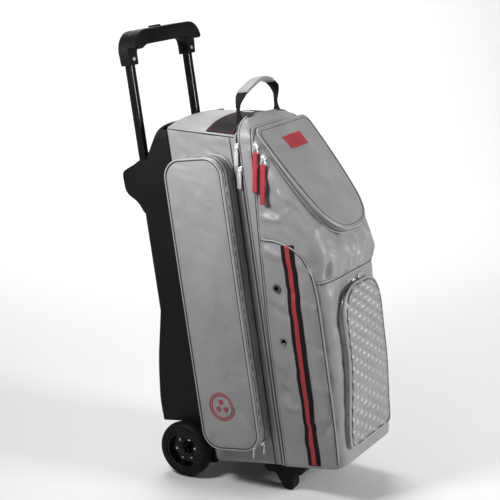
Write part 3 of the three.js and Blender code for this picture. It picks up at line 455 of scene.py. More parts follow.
for side, sign in SIDES:
    centre = sign * (tyre_low[0] + tyre_high[0]) / 2
    half = TYRE_WIDTH / 2
    crown = np.linspace(-TREAD_TURN, TREAD_TURN, 15)
    tread_radius = WHEEL_RADIUS - TREAD_CROWN + TREAD_CROWN * np.cos(crown) ** 0.8
    tread_along = (half - 0.5) * np.sin(crown) / math.sin(TREAD_TURN)
    wall_radius = [56, 55.2, 54.4, RIM_SEAT + 4, RIM_SEAT, RIM_SEAT]
    radius = np.concatenate([wall_radius[::-1], tread_radius, wall_radius])
    edge = np.array([half, half - 0.8, half, half - 0.5, half - 2.5, half - 6])
    along = np.concatenate([-edge[::-1], tread_along, edge])
    tyre = turned(f"tyre_{side}", radius, along, centre, tyre_rubber)
    settle(tyre, f"wheel_{side}", "tyre", f"wheel_tyre_{side}")
    eased(f"wheel_rim_{side}", f"wheel_{side}", rim_black, 1.4, 3)
    web = turned(f"rim_web_{side}", WEB_RADIUS, WEB_ALONG * sign, centre, rim_black)
    settle(web, f"wheel_{side}", "rim")
    for i in range(SCREW_COUNT):
        angle = 2 * math.pi * i / SCREW_COUNT
        y, z = SCREW_CIRCLE * math.cos(angle), SCREW_CIRCLE * math.sin(angle)
        face = sign * (tyre_high[0] - SCREW_DEPTH)
        head = through([(face + sign * 2.6, y, z), (face, y, z)], 4)
        screw = swept(f"rim_screw_{side}_{i}", head, SCREW_RADIUS, chrome, sides=10)
        settle(screw, f"wheel_{side}", "chrome")


# ------------------------------------------------------------------ cloths, cords and stitches
# The bag is sewn from a satin-faced grey polyester twill. Its seams are corded with the same cloth,
# and a dark line of painted shade, the shadow in each seam, runs beside each cord.


def woven(name, colour, roughness, pitch=1.3, depth=0.00012, spread=0.07, sheen=0.0, crumple=0.0):
    """A twill: diagonal ribs and cross threads as bump, over cloth that drifts a little in tone.
    `crumple` is the depth, in metres, of the small creases that worn cloth keeps."""
    made = plain_material(name, colour, roughness)
    made.node_tree.nodes["Principled BSDF"].inputs["Sheen Weight"].default_value = sheen
    made.node_tree.nodes["Principled BSDF"].inputs["Sheen Roughness"].default_value = 0.5
    mottle(made, colour, spread, 16)
    noise_into(made, "Roughness", 30, roughness - 0.06, roughness + 0.08)
    nodes, links = made.node_tree.nodes, made.node_tree.links
    place = nodes.new("ShaderNodeUVMap")
    place.uv_map = "cloth"
    ribs = []
    for direction in ("X", "DIAGONAL"):
        rib = nodes.new("ShaderNodeTexWave")
        rib.bands_direction = direction
        rib.inputs["Scale"].default_value = 0.314 / (pitch * MM)
        rib.inputs["Distortion"].default_value = 0.6
        links.new(place.outputs["UV"], rib.inputs["Vector"])
        ribs.append(rib)
    both = nodes.new("ShaderNodeMath")
    both.operation = "MULTIPLY"
    links.new(ribs[0].outputs["Fac"], both.inputs[0])
    links.new(ribs[1].outputs["Fac"], both.inputs[1])
    bump_from(made, both.outputs[0], depth)
    if crumple:
        here = nodes.new("ShaderNodeTexCoord")
        creases = nodes.new("ShaderNodeTexNoise")
        creases.inputs["Scale"].default_value = 13
        creases.inputs["Detail"].default_value = 2.5
        creases.inputs["Distortion"].default_value = 1.6
        links.new(here.outputs["Object"], creases.inputs["Vector"])
        bump_from(made, creases.outputs["Fac"], crumple, 0.7)
    return made


grey_twill = woven("grey_twill", (0.235, 0.236, 0.24), 0.47, sheen=0.1, crumple=0.0035)
cord_grey = woven("cord_grey", (0.3, 0.3, 0.305), 0.34, 0.8)
# Zip tape: its own dark grey, darkened further with painted shade for the shadowed gap between case and door.
tape_and_gap_shade = woven("zip_tape_and_gap_shade", (0.07, 0.07, 0.072), 0.6, 0.9)
# Seam lines: near-black lines of painted shade, for the shadows that the cords throw into their seams.
seam_shade = plain_material("seam_painted_shade", (0.02, 0.02, 0.021), 0.7)
mottle(seam_shade, (0.02, 0.02, 0.021), 0.3, 900)
lining_black = woven("lining_black", (0.016, 0.016, 0.017), 0.7, 1.0)
webbing_black = woven("webbing_black", (0.004, 0.004, 0.0045), 0.8, 1.8, 0.0003)
webbing_black.node_tree.nodes["Principled BSDF"].inputs["Specular IOR Level"].default_value = 0.25
webbing_red = woven("webbing_red", (0.32, 0.02, 0.026), 0.6, 1.8, 0.0003)
zip_black = plain_material("zip_coil", (0.1, 0.1, 0.102), 0.4)
noise_into(zip_black, "Roughness", 300, 0.3, 0.5)

# cloth's thickness, the case's back and front edges, the door's rear edge, the half width and the foot
CLOTH = 2.6
BACK_FACE, FRONT_FACE, DOOR_REAR = -61.5, -231.5, -235.5
HALF, BASE = 124.0, -38.0


def ripple(u, v, seed, size, height):
    """Slow unevenness of sewn cloth: six sine waves of random direction, `size` apart or so."""
    dice = np.random.default_rng(seed)
    total = 0 * u
    for _ in range(6):
        angle, shift, length = dice.uniform(0, np.pi), dice.uniform(0, 6.28), size * dice.uniform(0.6, 1.7)
        total = total + np.sin((u * np.cos(angle) + v * np.sin(angle)) * 6.283 / length + shift)
    return total * height / 3


def fold(u, v, start, end, width, height):
    """One crease between two points: a bell across the line, which fades at both ends."""
    (u0, v0), (u1, v1) = start, end
    length = math.hypot(u1 - u0, v1 - v0)
    along = ((u - u0) * (u1 - u0) + (v - v0) * (v1 - v0)) / length**2
    across = ((u - u0) * (v1 - v0) - (v - v0) * (u1 - u0)) / length
    ends = np.exp(-np.clip(np.maximum(-along, along - 1), 0, None) ** 2 * 30)
    fade = np.clip(np.minimum(along + 0.3, 1.3 - along) * 2, 0, 1)
    return height * np.exp(-((across / width) ** 2)) * ends * fade


def folds(u, v, creases, total):
    """Creases given as (start, end, width, height), added to what is there."""
    for start, end, width, height in creases:
        total = total + fold(u, v, start, end, width, height)
    return total


def creased(u, v, seed, count, corner, far, height):
    """Scattered short creases, mostly slanting, between two corners of a panel."""
    dice = np.random.default_rng(seed)
    total = 0 * u
    for _ in range(count):
        start = dice.uniform(corner, far)
        angle, length = dice.normal(0.7, 0.6), dice.uniform(18, 60)
        end = start + length * np.array([np.cos(angle), np.sin(angle)])
        width = dice.uniform(5, 9)
        total = total + fold(u, v, start, end, width, height * dice.choice([-1, 1]) * dice.uniform(0.5, 1))
    return total


def smooth(value, low, high):
    """0 below low, 1 above high, with a smooth turn between them."""
    t = np.clip((value - low) / (high - low), 0, 1)
    return t * t * (3 - 2 * t)


def bits(name, path, size, spacing, material, facing, stagger=0.0):
    """Small blocks set along a path, such as stitches or zip teeth. `size` is length along it, width
    across it and height towards `facing`, and `stagger` shifts them sideways in turn."""
    path = np.asarray(path, float)
    run = np.linalg.norm(np.diff(path, axis=0), axis=1).sum()
    spots = resample(path, max(int(run / spacing), 2))
    ahead = np.gradient(spots, axis=0)
    ahead /= np.linalg.norm(ahead, axis=1)[:, None]
    out = np.broadcast_to(np.asarray(facing(spots) if callable(facing) else facing, float), spots.shape)
    out = out - ahead * np.einsum("ij,ij->i", out, ahead)[:, None]
    out = out / np.linalg.norm(out, axis=1)[:, None]
    across = np.cross(ahead, out)
    shift = np.where(np.arange(len(spots)) % 2, stagger, -stagger)[:, None]
    length, width, height = size
    block = ((-1, -1, 0), (1, -1, 0), (1, 1, 0), (-1, 1, 0), (-0.8, -0.7, 1), (0.8, -0.7, 1), (0.8, 0.7, 1),
             (-0.8, 0.7, 1))
    corners = np.stack([spots + ahead * a * length / 2 + across * (b * width / 2 + shift) + out * c * height
                        for a, b, c in block], 1)
    sides = np.array([(0, 3, 2, 1), (4, 5, 6, 7), (0, 1, 5, 4), (1, 2, 6, 5), (2, 3, 7, 6), (3, 0, 4, 7)])
    quads = (np.arange(len(spots))[:, None, None] * 8 + sides).reshape(-1, 4)
    mesh = bpy.data.meshes.new(name)
    flat = corners.reshape(-1, 3)
    mesh.from_pydata(stand(flat[:, 0], flat[:, 1], flat[:, 2]), [], quads.tolist())
    mesh.materials.append(material)
    mesh.update()
    return link(mesh)


def lie_on(made, under, above):
    """Draws a sheet on to the piece that it is sewn to, a little above its face."""
    wrap = made.modifiers.new("lies on", "SHRINKWRAP")
    wrap.target, wrap.offset = under, above * MM
    wrap.wrap_method, wrap.wrap_mode = "NEAREST_SURFACEPOINT", "OUTSIDE_SURFACE"


def cord(name, path, radius, body):
    """Cloth-covered cord all round a piece."""
    settle(swept(name, path, radius, cord_grey, closed=True), body, "grey_fabric")


def shade_line(name, path, radius, body, closed=True):
    """Line of painted shade, for the dark shadow in a seam beside its cord."""
    settle(swept(name, path, radius, seam_shade, closed, 6), body, "grey_fabric")


def corded(name, path, body, beside, radius=1.7):
    """A corded seam: the cord, and the line of painted shade that lies `beside` it."""
    settle(swept(name, path, radius, cord_grey), body, "grey_fabric")
    shade_line(name + "_seam", path + np.asarray(beside, float), 1.0, body, closed=False)


# ------------------------------------------------------------------ case
# The fabric case for the three balls: four walls round the board, open to the door. Its top is sewn
# to the walls along a seam that falls towards the front, and its crown stays higher.
TOP_FACE = 735.0
DROP_FROM = 560


def case_top(x, y):
    """Height of the case's top: it falls a little to the front, and more along its side seams."""
    back = (BACK_FACE - y) / 170
    middle = 737 - 15 * back
    edge = 724 - 30 * back
    return middle + (edge - middle) * np.clip(np.abs(x) / HALF, 0, 1) ** 2.6


case_ring = ring_of(HALF, BASE, TOP_FACE, 14, 5, 3.0)
case_rows = np.linspace(BACK_FACE, FRONT_FACE, 52)
ring_x, ring_z = case_ring[None, :, 0], case_ring[None, :, 1]
row_y = case_rows[:, None] + 0 * ring_x
drop = (case_top(ring_x, row_y) - TOP_FACE) * smooth(ring_z, DROP_FROM, TOP_FACE)
on_top = smooth(ring_z, 700, 735) * smooth(HALF - np.abs(ring_x), 2, 30)
on_side = smooth(np.abs(ring_x), 110, 123)
free = smooth(row_y - FRONT_FACE, 4, 26) * smooth(BACK_FACE - row_y, 2, 20)
CASE_CREASES = (((-80, 690), (-140, 650), 9, -2.0), ((-150, 700), (-215, 655), 8, -2.4))
side_soft = folds(row_y, ring_z, CASE_CREASES, ripple(row_y, ring_z, 5, 60, 1.2))
side_soft = side_soft + creased(row_y, ring_z, 75, 24, (-225, -20), (-70, 720), 1.6)
soft = ripple(row_y, ring_x, 3, 70, 1.3) + fold(row_y, ring_x, (-90, -70), (-190, 40), 16, 2.2)
soft = soft + creased(row_y, ring_x, 76, 14, (-220, -100), (-75, 100), 1.2)
case = surface(
    "case_walls",
    ring_x - np.sign(ring_x) * on_side * free * (0.8 - side_soft * 0.8),
    row_y, ring_z + drop + on_top * free * soft, grey_twill, around=True,
)
face_out(case, (0, -146, 350))
case.data.materials.append(lining_black)
wall = thicken(case, CLOTH)
wall.material_offset = 1
settle(case, "bag", "grey_fabric", "fabric_case")
for side, sign in SIDES:
    edge_y = np.linspace(BACK_FACE - 2, FRONT_FACE + 2, 40)
    edge = np.stack([sign * (HALF - 1) + 0 * edge_y, edge_y, case_top(HALF, edge_y) - 0.5], -1)
    corded(f"case_edge_cord_{side}", edge, "bag", (sign * 1.2, 0, -2.2), radius=1.3)
front_x, front_z = case_ring.T
front_z = front_z + (case_top(front_x, FRONT_FACE) - TOP_FACE) * smooth(front_z, DROP_FROM, TOP_FACE)
rim_path = np.stack([front_x, FRONT_FACE + 1.5 + 0 * front_x, front_z], -1)
cord("case_rim_cord", rim_path, 2.0, "bag")
flap_path = rim_path + (0, 14, 0)
# A dark line of painted shade along the case's zip flap.
settle(swept("case_zip_seam", flap_path + np.sign(flap_path) * (0.4, 0, 0), 0.9, seam_shade, closed=True),
       "bag", "grey_fabric")

# The black patch that carries the handle, with red stitching round its edge.
PATCH_HALF, PATCH_BACK, PATCH_FRONT, PATCH_LIFT = 121, -158.0, -226.0, 2.6
STITCH_SIZE, STITCH_PITCH, STITCH_LIFT = (3.4, 1.1, 0.5), 4.6, 2.7
patch_x, patch_y = np.meshgrid(np.linspace(-PATCH_HALF, PATCH_HALF, 90),
                               np.linspace(PATCH_BACK, PATCH_FRONT, 30))
patch = surface("handle_patch", patch_x, patch_y, case_top(patch_x, patch_y) + PATCH_LIFT, webbing_black)
thicken(patch, 1.2)
face_out(patch, (0, -190, 0))
settle(patch, "bag", "black_webbing")
stitch_x = PATCH_HALF - 4
across_x = np.linspace(-stitch_x, stitch_x, 60)
along_y = np.linspace(PATCH_BACK - 4, PATCH_FRONT + 5, 20)
for name, x, y in (("back", across_x, along_y[0]), ("front", across_x, along_y[-1]),
                   ("left", -stitch_x, along_y), ("right", stitch_x, along_y)):
    line = np.stack(np.broadcast_arrays(x, y, case_top(x, y) + STITCH_LIFT), -1)
    stitches = bits(f"patch_stitches_{name}", line, STITCH_SIZE, STITCH_PITCH, webbing_red, (0, 0, 1))
    settle(stitches, "bag", "red_webbing")

# ------------------------------------------------------------------ ball cradles
# Three pads of charcoal foam inside the case, each with a shallow cup for a ball.
FOAM_COLOUR = (0.02, 0.02, 0.021)
foam = plain_material("foam", FOAM_COLOUR, 0.95)
mottle(foam, FOAM_COLOUR, 0.3, 60)
grain(foam, 500, 0.0006)
for place in ("lower", "middle", "upper"):
    eased(f"ball_cradle_{place}", "bag", foam, 2.0, 3)

# ------------------------------------------------------------------ cushions
# Lids and pockets are padded panels. Each is a stack of rings round its outline, drawn in towards
# its spine: flat at the back, turned over the rim, and domed at the front.


BACK_RINGS = np.array([0, 0.5, 0.97])
RIM_RINGS, RIM_SHARES = np.array([1.0, 1.012, 1.0]), np.array([0.12, 0.5, 0.9])


def cushion(name, shape, spine, rise, thickness, place, material, lift, rings):
    """`shape` is the outline as (u, v), `spine` the ends of the line that its rings draw in to, and
    `place` turns (u, v, height) into bag millimetres. The front is `thickness` high at its rim, `rise`
    more in the middle, and `lift` adds creases. k runs from 1 at the outline to 0 at the spine."""
    u, v = shape[None, :, 0], shape[None, :, 1]
    middle_v = np.clip(v, *spine)
    k_front = np.linspace(1, 0, rings)[1:]
    k = np.concatenate([BACK_RINGS, RIM_RINGS, k_front * 0.985])[:, None]
    dome = thickness + rise * np.sqrt(1 - k_front**2.4)
    high = np.concatenate([0 * BACK_RINGS, RIM_SHARES * thickness, dome])[:, None]
    uu, vv = u * k, middle_v + (v - middle_v) * k
    inner = (k < 0.99) & (np.arange(len(k))[:, None] > len(BACK_RINGS))
    high = high + np.where(inner, lift(uu, vv, k), 0)
    made = surface(name, *place(uu, vv, high), material, around=True, cloth=(uu, vv))
    return seal(made)


# ------------------------------------------------------------------ side pockets
# A long pocket on each side: a gusset with a zip round it, and a padded lid that hinges at the back.
# The left lid carries an embroidered mark near its foot, drawn here as a plain ring with three dots.
POCKET_Y, POCKET_HALF = -142.0, 70.5
POCKET_LOW, POCKET_HIGH, POCKET_ROUND = 14.0, 659.0, 40.0
POCKET_SPINE = (POCKET_LOW + POCKET_HALF, POCKET_HIGH - POCKET_HALF)
pocket_ring = ring_of(POCKET_HALF, POCKET_LOW, POCKET_HIGH, POCKET_ROUND, POCKET_ROUND)
LID_NEAR, LID_FACE = 165.0, 174.2
# the gusset from the case out to the lid: distance out, and how far it bulges there
GUSSET_OUT = np.array([124.6, 128, 132, 136, 139, 141, 142.2, 143.2,
                       145.8, 146.8, 148, 151, 155, 159, 162, 164.5])
GUSSET_BULGE = np.array([-1, 0.2, 0.9, 1.2, 1.1, 0.6, -0.9, -1.2,
                         -1.2, -0.9, 0.6, 1.3, 1.5, 1.2, 0.5, -0.4])
THREAD_RED = (0.3, 0.03, 0.04)
embroidery = plain_material("embroidery", THREAD_RED, 0.5)
mottle(embroidery, THREAD_RED, 0.35, 700)


LID_CREASES = (
    ((44, 640), (-20, 560), 12, 1.6), ((50, 610), (10, 470), 15, -1.2), ((-10, 150), (-66, 60), 12, 1.9),
    ((-20, 190), (-60, 175), 8, -1.7), ((-25, 110), (-64, 95), 7, -1.5), ((30, 70), (60, 40), 11, 1.2),
    ((5, 380), (-30, 300), 22, 1.2),
)


def lid_creases(u, v, k):
    """Soft creases of a side lid, mostly towards its corners."""
    total = folds(u, v, LID_CREASES, ripple(u, v, 11, 150, 0.9)) * 1.6
    total = total + creased(u, v, 73, 26, (-64, 20), (64, 640), 1.1)
    total = total + creased(u, v, 74, 12, (-66, 20), (10, 170), 1.6)
    return total * smooth(1 - k, 0.02, 0.2)


gy, gz = pocket_ring[None, :, 0], pocket_ring[None, :, 1]
middle_z = np.clip(gz, *POCKET_SPINE)
POCKET_ZIP = 144.5


def pocket_loop(out, share=1.0):
    """The pocket's outline in space, `out` millimetres from the bag's middle, drawn in to a share."""
    y, z = POCKET_Y + gy[0] * share, middle_z[0] + (gz[0] - middle_z[0]) * share
    return np.stack([out + 0 * y, y, z], -1)


def from_spine(p):
    """Directions from the pocket's spine, for the zip's teeth."""
    return p - np.stack([p[:, 0], 0 * p[:, 0] + POCKET_Y, np.clip(p[:, 2], 84, 589)], -1)


for side, sign in SIDES:
    out, bulge = GUSSET_OUT[:, None], GUSSET_BULGE[:, None]
    run = np.arange(pocket_ring.shape[0])[None] * 3.0
    pucker = np.abs(out - POCKET_ZIP) / 20 * ripple(run, out * 0.35, 21 + sign, 22, 1.0)
    pucker = pucker * smooth(LID_NEAR - out, 1, 6) + ripple(run, out * 0, 31, 130, 0.7)
    grown = 1 + (bulge + pucker) / POCKET_HALF
    gusset = surface(f"pocket_gusset_{side}", sign * out, POCKET_Y + gy * grown,
                     middle_z + (gz - middle_z) * grown, grey_twill, around=True)
    face_out(gusset, (sign * 145, POCKET_Y, 336))
    gusset.data.materials.append(lining_black)
    thicken(gusset, 2.0).material_offset = 1
    settle(gusset, "bag", "grey_fabric", f"side_pocket_{side}")
    k = np.array([1.0, 0.95, 0.7, 0.4, 0.0])[:, None]
    base_panel = surface(f"pocket_back_{side}", sign * 125.2, POCKET_Y + gy * k * 0.985,
                         middle_z + (gz - middle_z) * k * 0.985, lining_black, around=True)
    thicken(seal(base_panel), 0.8, 0)
    settle(base_panel, "bag", "grey_fabric")

    cord(f"pocket_foot_cord_{side}", pocket_loop(sign * 126), 1.8, "bag")
    cord(f"pocket_rim_cord_{side}", pocket_loop(sign * 163.4), 1.5, "bag")
    shade_line(f"pocket_seam_{side}", pocket_loop(sign * 158.5), 1.6, "bag")
    zip_loop = pocket_loop(sign * POCKET_ZIP)
    zip_loop = np.concatenate([zip_loop, zip_loop[:1]])
    teeth = bits(f"pocket_zip_{side}", zip_loop, (1.5, 3.2, 1.3), 2.4, zip_black, from_spine, 0.8)
    settle(teeth, "bag", "steel")

    def in_side_lid(u, v, h, sign=sign):
        """The side lid's padding in space."""
        return sign * (LID_NEAR + h), POCKET_Y + u, v

    lid = cushion(f"side_lid_pad_{side}", pocket_ring, POCKET_SPINE, 3.0, LID_FACE - LID_NEAR - 2.2,
                  in_side_lid, grey_twill, lid_creases, 30)
    settle(lid, f"side_lid_{side}", "grey_fabric", f"side_lid_{side}")
    cord(f"side_lid_cord_{side}", pocket_loop(sign * (LID_FACE - 1.4)), 1.9, f"side_lid_{side}")
    shade_line(f"side_lid_seam_{side}", pocket_loop(sign * (LID_FACE - 0.5), 0.965), 0.9, f"side_lid_{side}")

MARK_Y, MARK_Z, MARK_X = -132.0, 113.0, 178.0
mark_turn = np.linspace(0, 2 * np.pi, 97)[None, :-1]
left_pad = bpy.data.objects["side_lid_pad_left"]


def stitched(name, y, z, inner, outer):
    """Flat ring of close stitching, laid on the left lid."""
    reach = np.linspace(inner, outer, 4)[:, None]
    made = surface(name, -MARK_X, y + reach * np.cos(mark_turn), z + reach * np.sin(mark_turn), embroidery,
                   around=True)
    face_out(made, (0, y, z))
    lie_on(made, left_pad, 0.4)
    thicken(made, 0.7, 0)
    settle(made, "side_lid_left", "red_webbing")


for inner, outer in ((25.0, 27.6), (30.0, 32.8)):
    stitched(f"mark_ring_{int(inner)}", MARK_Y, MARK_Z, inner, outer)
for i, angle in enumerate(np.radians((90, 210, 330))):
    stitched(f"mark_dot_{i}", MARK_Y + 11 * math.cos(angle), MARK_Z + 11 * math.sin(angle), 0.3, 6.0)

# ------------------------------------------------------------------ door
# The front door: a boxy panel with a sloping top front, soft sides and a gathered slip pocket.
SLOPE_HEAD, SLOPE_HEEL = (-261.5, 712.0), (-385.5, 490.0)
FRONT = SLOPE_HEEL[0]
CORNER, CORNER_FROM, DOOR_TOP = 46, 678, 724
AIR_HOLES, AIR_HOLE_Y, AIR_HOLE_RADIUS = (248, 365), -280.5, 6.5
SHELF_Z = 464.5
MOUTH_HALF, MOUTH_HEAD, MOUTH_FOOT = 86, 34, 226
SHOE_HALF, SHOE_FOOT, SHOE_SPRING, SHOE_RISE = 76, 16, 244, 64
slope_y, slope_z = SLOPE_HEEL[0] - SLOPE_HEAD[0], SLOPE_HEEL[1] - SLOPE_HEAD[1]
SLOPE_RUN = math.hypot(slope_y, slope_z)
ALONG = np.array([slope_y, slope_z]) / SLOPE_RUN
OUT = np.array([ALONG[1], -ALONG[0]])


def front_of(z):
    """How far forward the door reaches at a height."""
    sloping = np.interp(z, (SLOPE_HEEL[1], 703, DOOR_TOP), (FRONT, -266.5, -242.5))
    foot = 12 * (1 - np.sqrt(1 - np.clip((-16 - z) / 24, 0, 1) ** 2))
    return sloping + foot


def front_bulge(x, z):
    """How far the door's padded front crowns forward between its two corner cords."""
    return 16.5 * (1 - np.clip(np.abs(x) / HALF, 0, 1) ** 4) * smooth(z, 4, 200) * (1 - smooth(z, 400, 486))


def half_of(z):
    """Half width of the door: its two top corners are rounded."""
    fallen = CORNER - np.sqrt(np.clip(CORNER**2 - np.clip(z - CORNER_FROM, 0, CORNER) ** 2, 0, None))
    return HALF - fallen * 0.98


def sag(x, z):
    """The door's top is crowned left of its middle and droops towards its right corner."""
    droop = np.interp(x, (-HALF, -93, -38, 29, 70, 92, HALF), (3, 3, 5, 2, -4, -9, -12))
    return droop * smooth(z, 560, DOOR_TOP)


SIDE_CREASES = (
    ((-262, 452), (-300, 430), 9, 4.4), ((-256, 330), (-300, 300), 9, -4.8),
    ((-262, 205), (-310, 160), 11, 5.1), ((-255, 145), (-300, 95), 10, -5.4),
    ((-256, 60), (-310, 20), 11, 4.4), ((-345, 150), (-374, 120), 8, 4.1),
    ((-340, 245), (-374, 225), 8, -4.1), ((-340, 420), (-370, 396), 8, 4.4),
    ((-270, 640), (-300, 560), 12, -5.4), ((-300, 600), (-352, 500), 12, 6.1),
    ((-275, 560), (-330, 486), 10, -5.1), ((-345, 540), (-380, 486), 9, -5.8),
    ((-268, 520), (-318, 508), 8, 4.8), ((-262, 590), (-296, 640), 9, 4.4),
    ((-318, 570), (-350, 548), 7, 4.1), ((-340, 330), (-374, 318), 7, 3.4),
    ((-300, 95), (-262, 100), 8, 3.7), ((-345, 40), (-372, 70), 8, -3.7),
)


def side_swell(y, z):
    """Slow bulges of the door's sides, the long creases that run down to the front, and short ones."""
    total = folds(y, z, SIDE_CREASES, ripple(y, z, 41, 60, 1.3) + ripple(y, z, 42, 150, 1.8))
    return total + creased(y, z, 71, 46, (-370, -20), (-245, 660), 1.6)


# gathers over the slip pocket's hem
GATHERS = (
    ((104, 384), (84, 452), 9, 5.0), ((84, 384), (74, 440), 7, -4.5), ((116, 386), (112, 470), 8, -4.0),
    ((60, 384), (58, 420), 6, -3.5), ((-96, 384), (-70, 450), 10, 4.0), ((-110, 384), (-96, 430), 7, -3.5),
    ((-60, 384), (-40, 428), 8, -3.0), ((20, 384), (30, 430), 8, 3.0),
)


heights = np.unique(np.concatenate([[BASE, BASE + 0.8, BASE + 3], np.arange(BASE + 6, 640, 3.4),
                                    np.arange(640, 722, 2.4), [722.5, 723.6, DOOR_TOP]]))
rings = []
for z in heights:
    squeeze = 3 * (1 - smooth(z, BASE, BASE + 5)) + 2.5 * smooth(z, 720, DOOR_TOP)
    round_front = min(26.0 - 14 * smooth(z, SLOPE_HEEL[1], 560), (DOOR_REAR - front_of(z)) * 0.4)
    ring = ring_of(half_of(z) - squeeze, front_of(z) + squeeze, DOOR_REAR - squeeze * 0.3, round_front, 5)
    rings.append(resample(np.concatenate([ring, ring[:1]]), 261)[:-1])
rings = np.array(rings)
caps = np.array([0.0, 0.6, 0.93])[:, None, None]
centre_low, centre_high = rings[0].mean(0), rings[-1].mean(0)
low_caps = centre_low + (rings[:1] - centre_low) * caps
high_caps = centre_high + (rings[-1:] - centre_high) * caps[::-1]
loft = np.concatenate([low_caps, rings, high_caps])
loft_z = np.concatenate([[BASE] * 3, heights, [DOOR_TOP] * 3])[:, None]
dx, dy, dz = loft[..., 0], loft[..., 1], loft_z + 0 * loft[..., 0]
sagged = sag(dx, dz)
side_face = smooth(np.abs(dx), 112, 123)
side_free = side_face * smooth(dz, BASE, 0) * smooth(DOOR_REAR - dy, 8, 34) * smooth(715 - dz, 0, 60)
front_face = smooth(front_of(dz) + 26 - dy, 0, 20) * (1 - smooth(dz, 486, 494)) * smooth(dz, BASE, 30)
side_lift = side_swell(dy, dz)
over_hem = smooth(dz, 374, 380)
gather = np.exp(-((dz - 440) / 50) ** 2) * over_hem
pleat = (np.sin(dx * 0.2 + 1.4 * np.sin(dx * 0.057)) * np.exp(-((dz - 392) / 34) ** 2)
         + 0.6 * np.sin(dx * 0.11 + 2) * np.exp(-((dz - 430) / 40) ** 2))
front_lift = gather * 10 + pleat * 2.6 * over_hem + ripple(dx, dz, 43, 60, 1.4)
front_lift = front_lift + creased(dx, dz, 72, 16, (-110, 384), (110, 470), 2.0)
front_lift = front_lift + folds(dx, dz, GATHERS, 0 * dx) * over_hem
corner = smooth(FRONT + 60 - dy, 0, 34) * side_face * (1 - smooth(dz, 488, 500))
dx = dx + np.sign(dx) * (side_free * side_lift + corner * gather * 3)
dy = dy - front_face * smooth(dz, 6, 60) * front_lift - smooth(FRONT + 30 - dy, 0, 26) * front_bulge(dx, dz)
down_slope = (dy - SLOPE_HEAD[0]) * ALONG[0] + (dz - SLOPE_HEAD[1]) * ALONG[1]
off_slope = (dy - SLOPE_HEAD[0]) * OUT[0] + (dz - SLOPE_HEAD[1]) * OUT[1]


def cell_middle(grid):
    """Mean of the four corners of each cell of a closed grid."""
    return (grid[:-1] + grid[1:] + np.roll(grid[:-1], -1, 1) + np.roll(grid[1:], -1, 1)) / 4


mx, my, mz, down_slope, off_slope = (cell_middle(grid) for grid in (dx, dy, dz, down_slope, off_slope))
mx = np.where(np.abs(dx[:-1] - np.roll(dx[:-1], -1, 1)) > 60, 0, mx)
pocket_mouth = (np.abs(mx) < MOUTH_HALF) & (down_slope > MOUTH_HEAD) & (down_slope < MOUTH_FOOT)
pocket_mouth &= off_slope > -8
arch_half = SHOE_HALF * np.sqrt(np.clip(1 - (np.clip(mz - SHOE_SPRING, 0, None) / SHOE_RISE) ** 2, 0, 1))
shoe_mouth = (my < FRONT + 12) & (mz > SHOE_FOOT) & (mz < SHOE_SPRING + SHOE_RISE) & (np.abs(mx) < arch_half)
holes = np.zeros(mx.shape, bool)
for z in AIR_HOLES:
    holes |= (np.hypot(my - AIR_HOLE_Y, mz - z) < AIR_HOLE_RADIUS) & (np.abs(mx) > 100)
door = surface("door_skin", dx, dy, dz + sagged, grey_twill, around=True,
               keep=~(pocket_mouth | shoe_mouth | holes))
seal(door)
face_out(door, (0, -300, 300))
door.data.materials.append(lining_black)
thicken(door, CLOTH).material_offset = 1
settle(door, "door", "grey_fabric", "door_shell")

# Shelf between the shoe compartment and the top pocket.
shelf_x, shelf_y = np.meshgrid(np.linspace(-119, 119, 30), np.linspace(-380, -240, 20))
shelf = surface("door_shelf", shelf_x, shelf_y, SHELF_Z, lining_black)
thicken(shelf, 4, 0)
settle(shelf, "door", "grey_fabric")


def along_slope(x, s, high):
    """Points in the lid's plane: across, down the slope and out of it."""
    head_y, head_z = SLOPE_HEAD
    return x + 0 * s, head_y + s * ALONG[0] + high * OUT[0], head_z + s * ALONG[1] + high * OUT[1]


# A border band runs beside the main zip, wider towards the top, with a cord at each edge. Its cord
# climbs one side of the door, crosses its top and comes down the other side.
border = through([(-244, -34), (-247, 274), (-262, 558), (-271, 684)], 150)
left_side = np.stack([-(half_of(border[:, 1]) + 0.6), border[:, 0], border[:, 1]], -1)
crossing = [(-121.5, -270.5, 692), (-114, -267.5, 700.5), (-100, -266, 704), (-60, -265.6, 704.5),
            (0, -265.5, 704.5)]
half_border = np.concatenate([left_side, through(np.concatenate([left_side[-1:], crossing]), 60)[1:]])
border_path = resample(np.concatenate([half_border, half_border[::-1] * (-1, 1, 1)]), 520)
border_path[:, 2] += sag(border_path[:, 0], border_path[:, 2])
corded("door_border_cord", border_path, "door", (0, 3.2, 1.2))
over = np.linspace(0, np.pi / 2, 20)[1:]
rear_z = np.arange(BASE + 4, CORNER_FROM + 1, 3.0)
rear_left = np.stack([-(half_of(rear_z) + 0.4), DOOR_REAR - 2.4 + 0 * rear_z, rear_z], -1)
rear_turn = np.stack([CORNER - HALF - CORNER * np.cos(over), DOOR_REAR - 2.4 + 0 * over,
                      CORNER_FROM + 0.4 + CORNER * np.sin(over)], -1)
rear_half = np.concatenate([rear_left, rear_turn])
rear_path = resample(np.concatenate([rear_half, rear_half[::-1] * (-1, 1, 1)]), 520)
rear_path[:, 2] += sag(rear_path[:, 0], rear_path[:, 2])
settle(swept("door_rear_cord", rear_path, 2.0, cord_grey), "door", "grey_fabric")
gap_path = rear_path + (0, 3.4, 0)


def from_middle(p):
    """Directions out of the door's rim, for the main zip's teeth."""
    return np.stack([p[:, 0], 0 * p[:, 0], np.clip(p[:, 2] - 640, 0, 99)], -1)


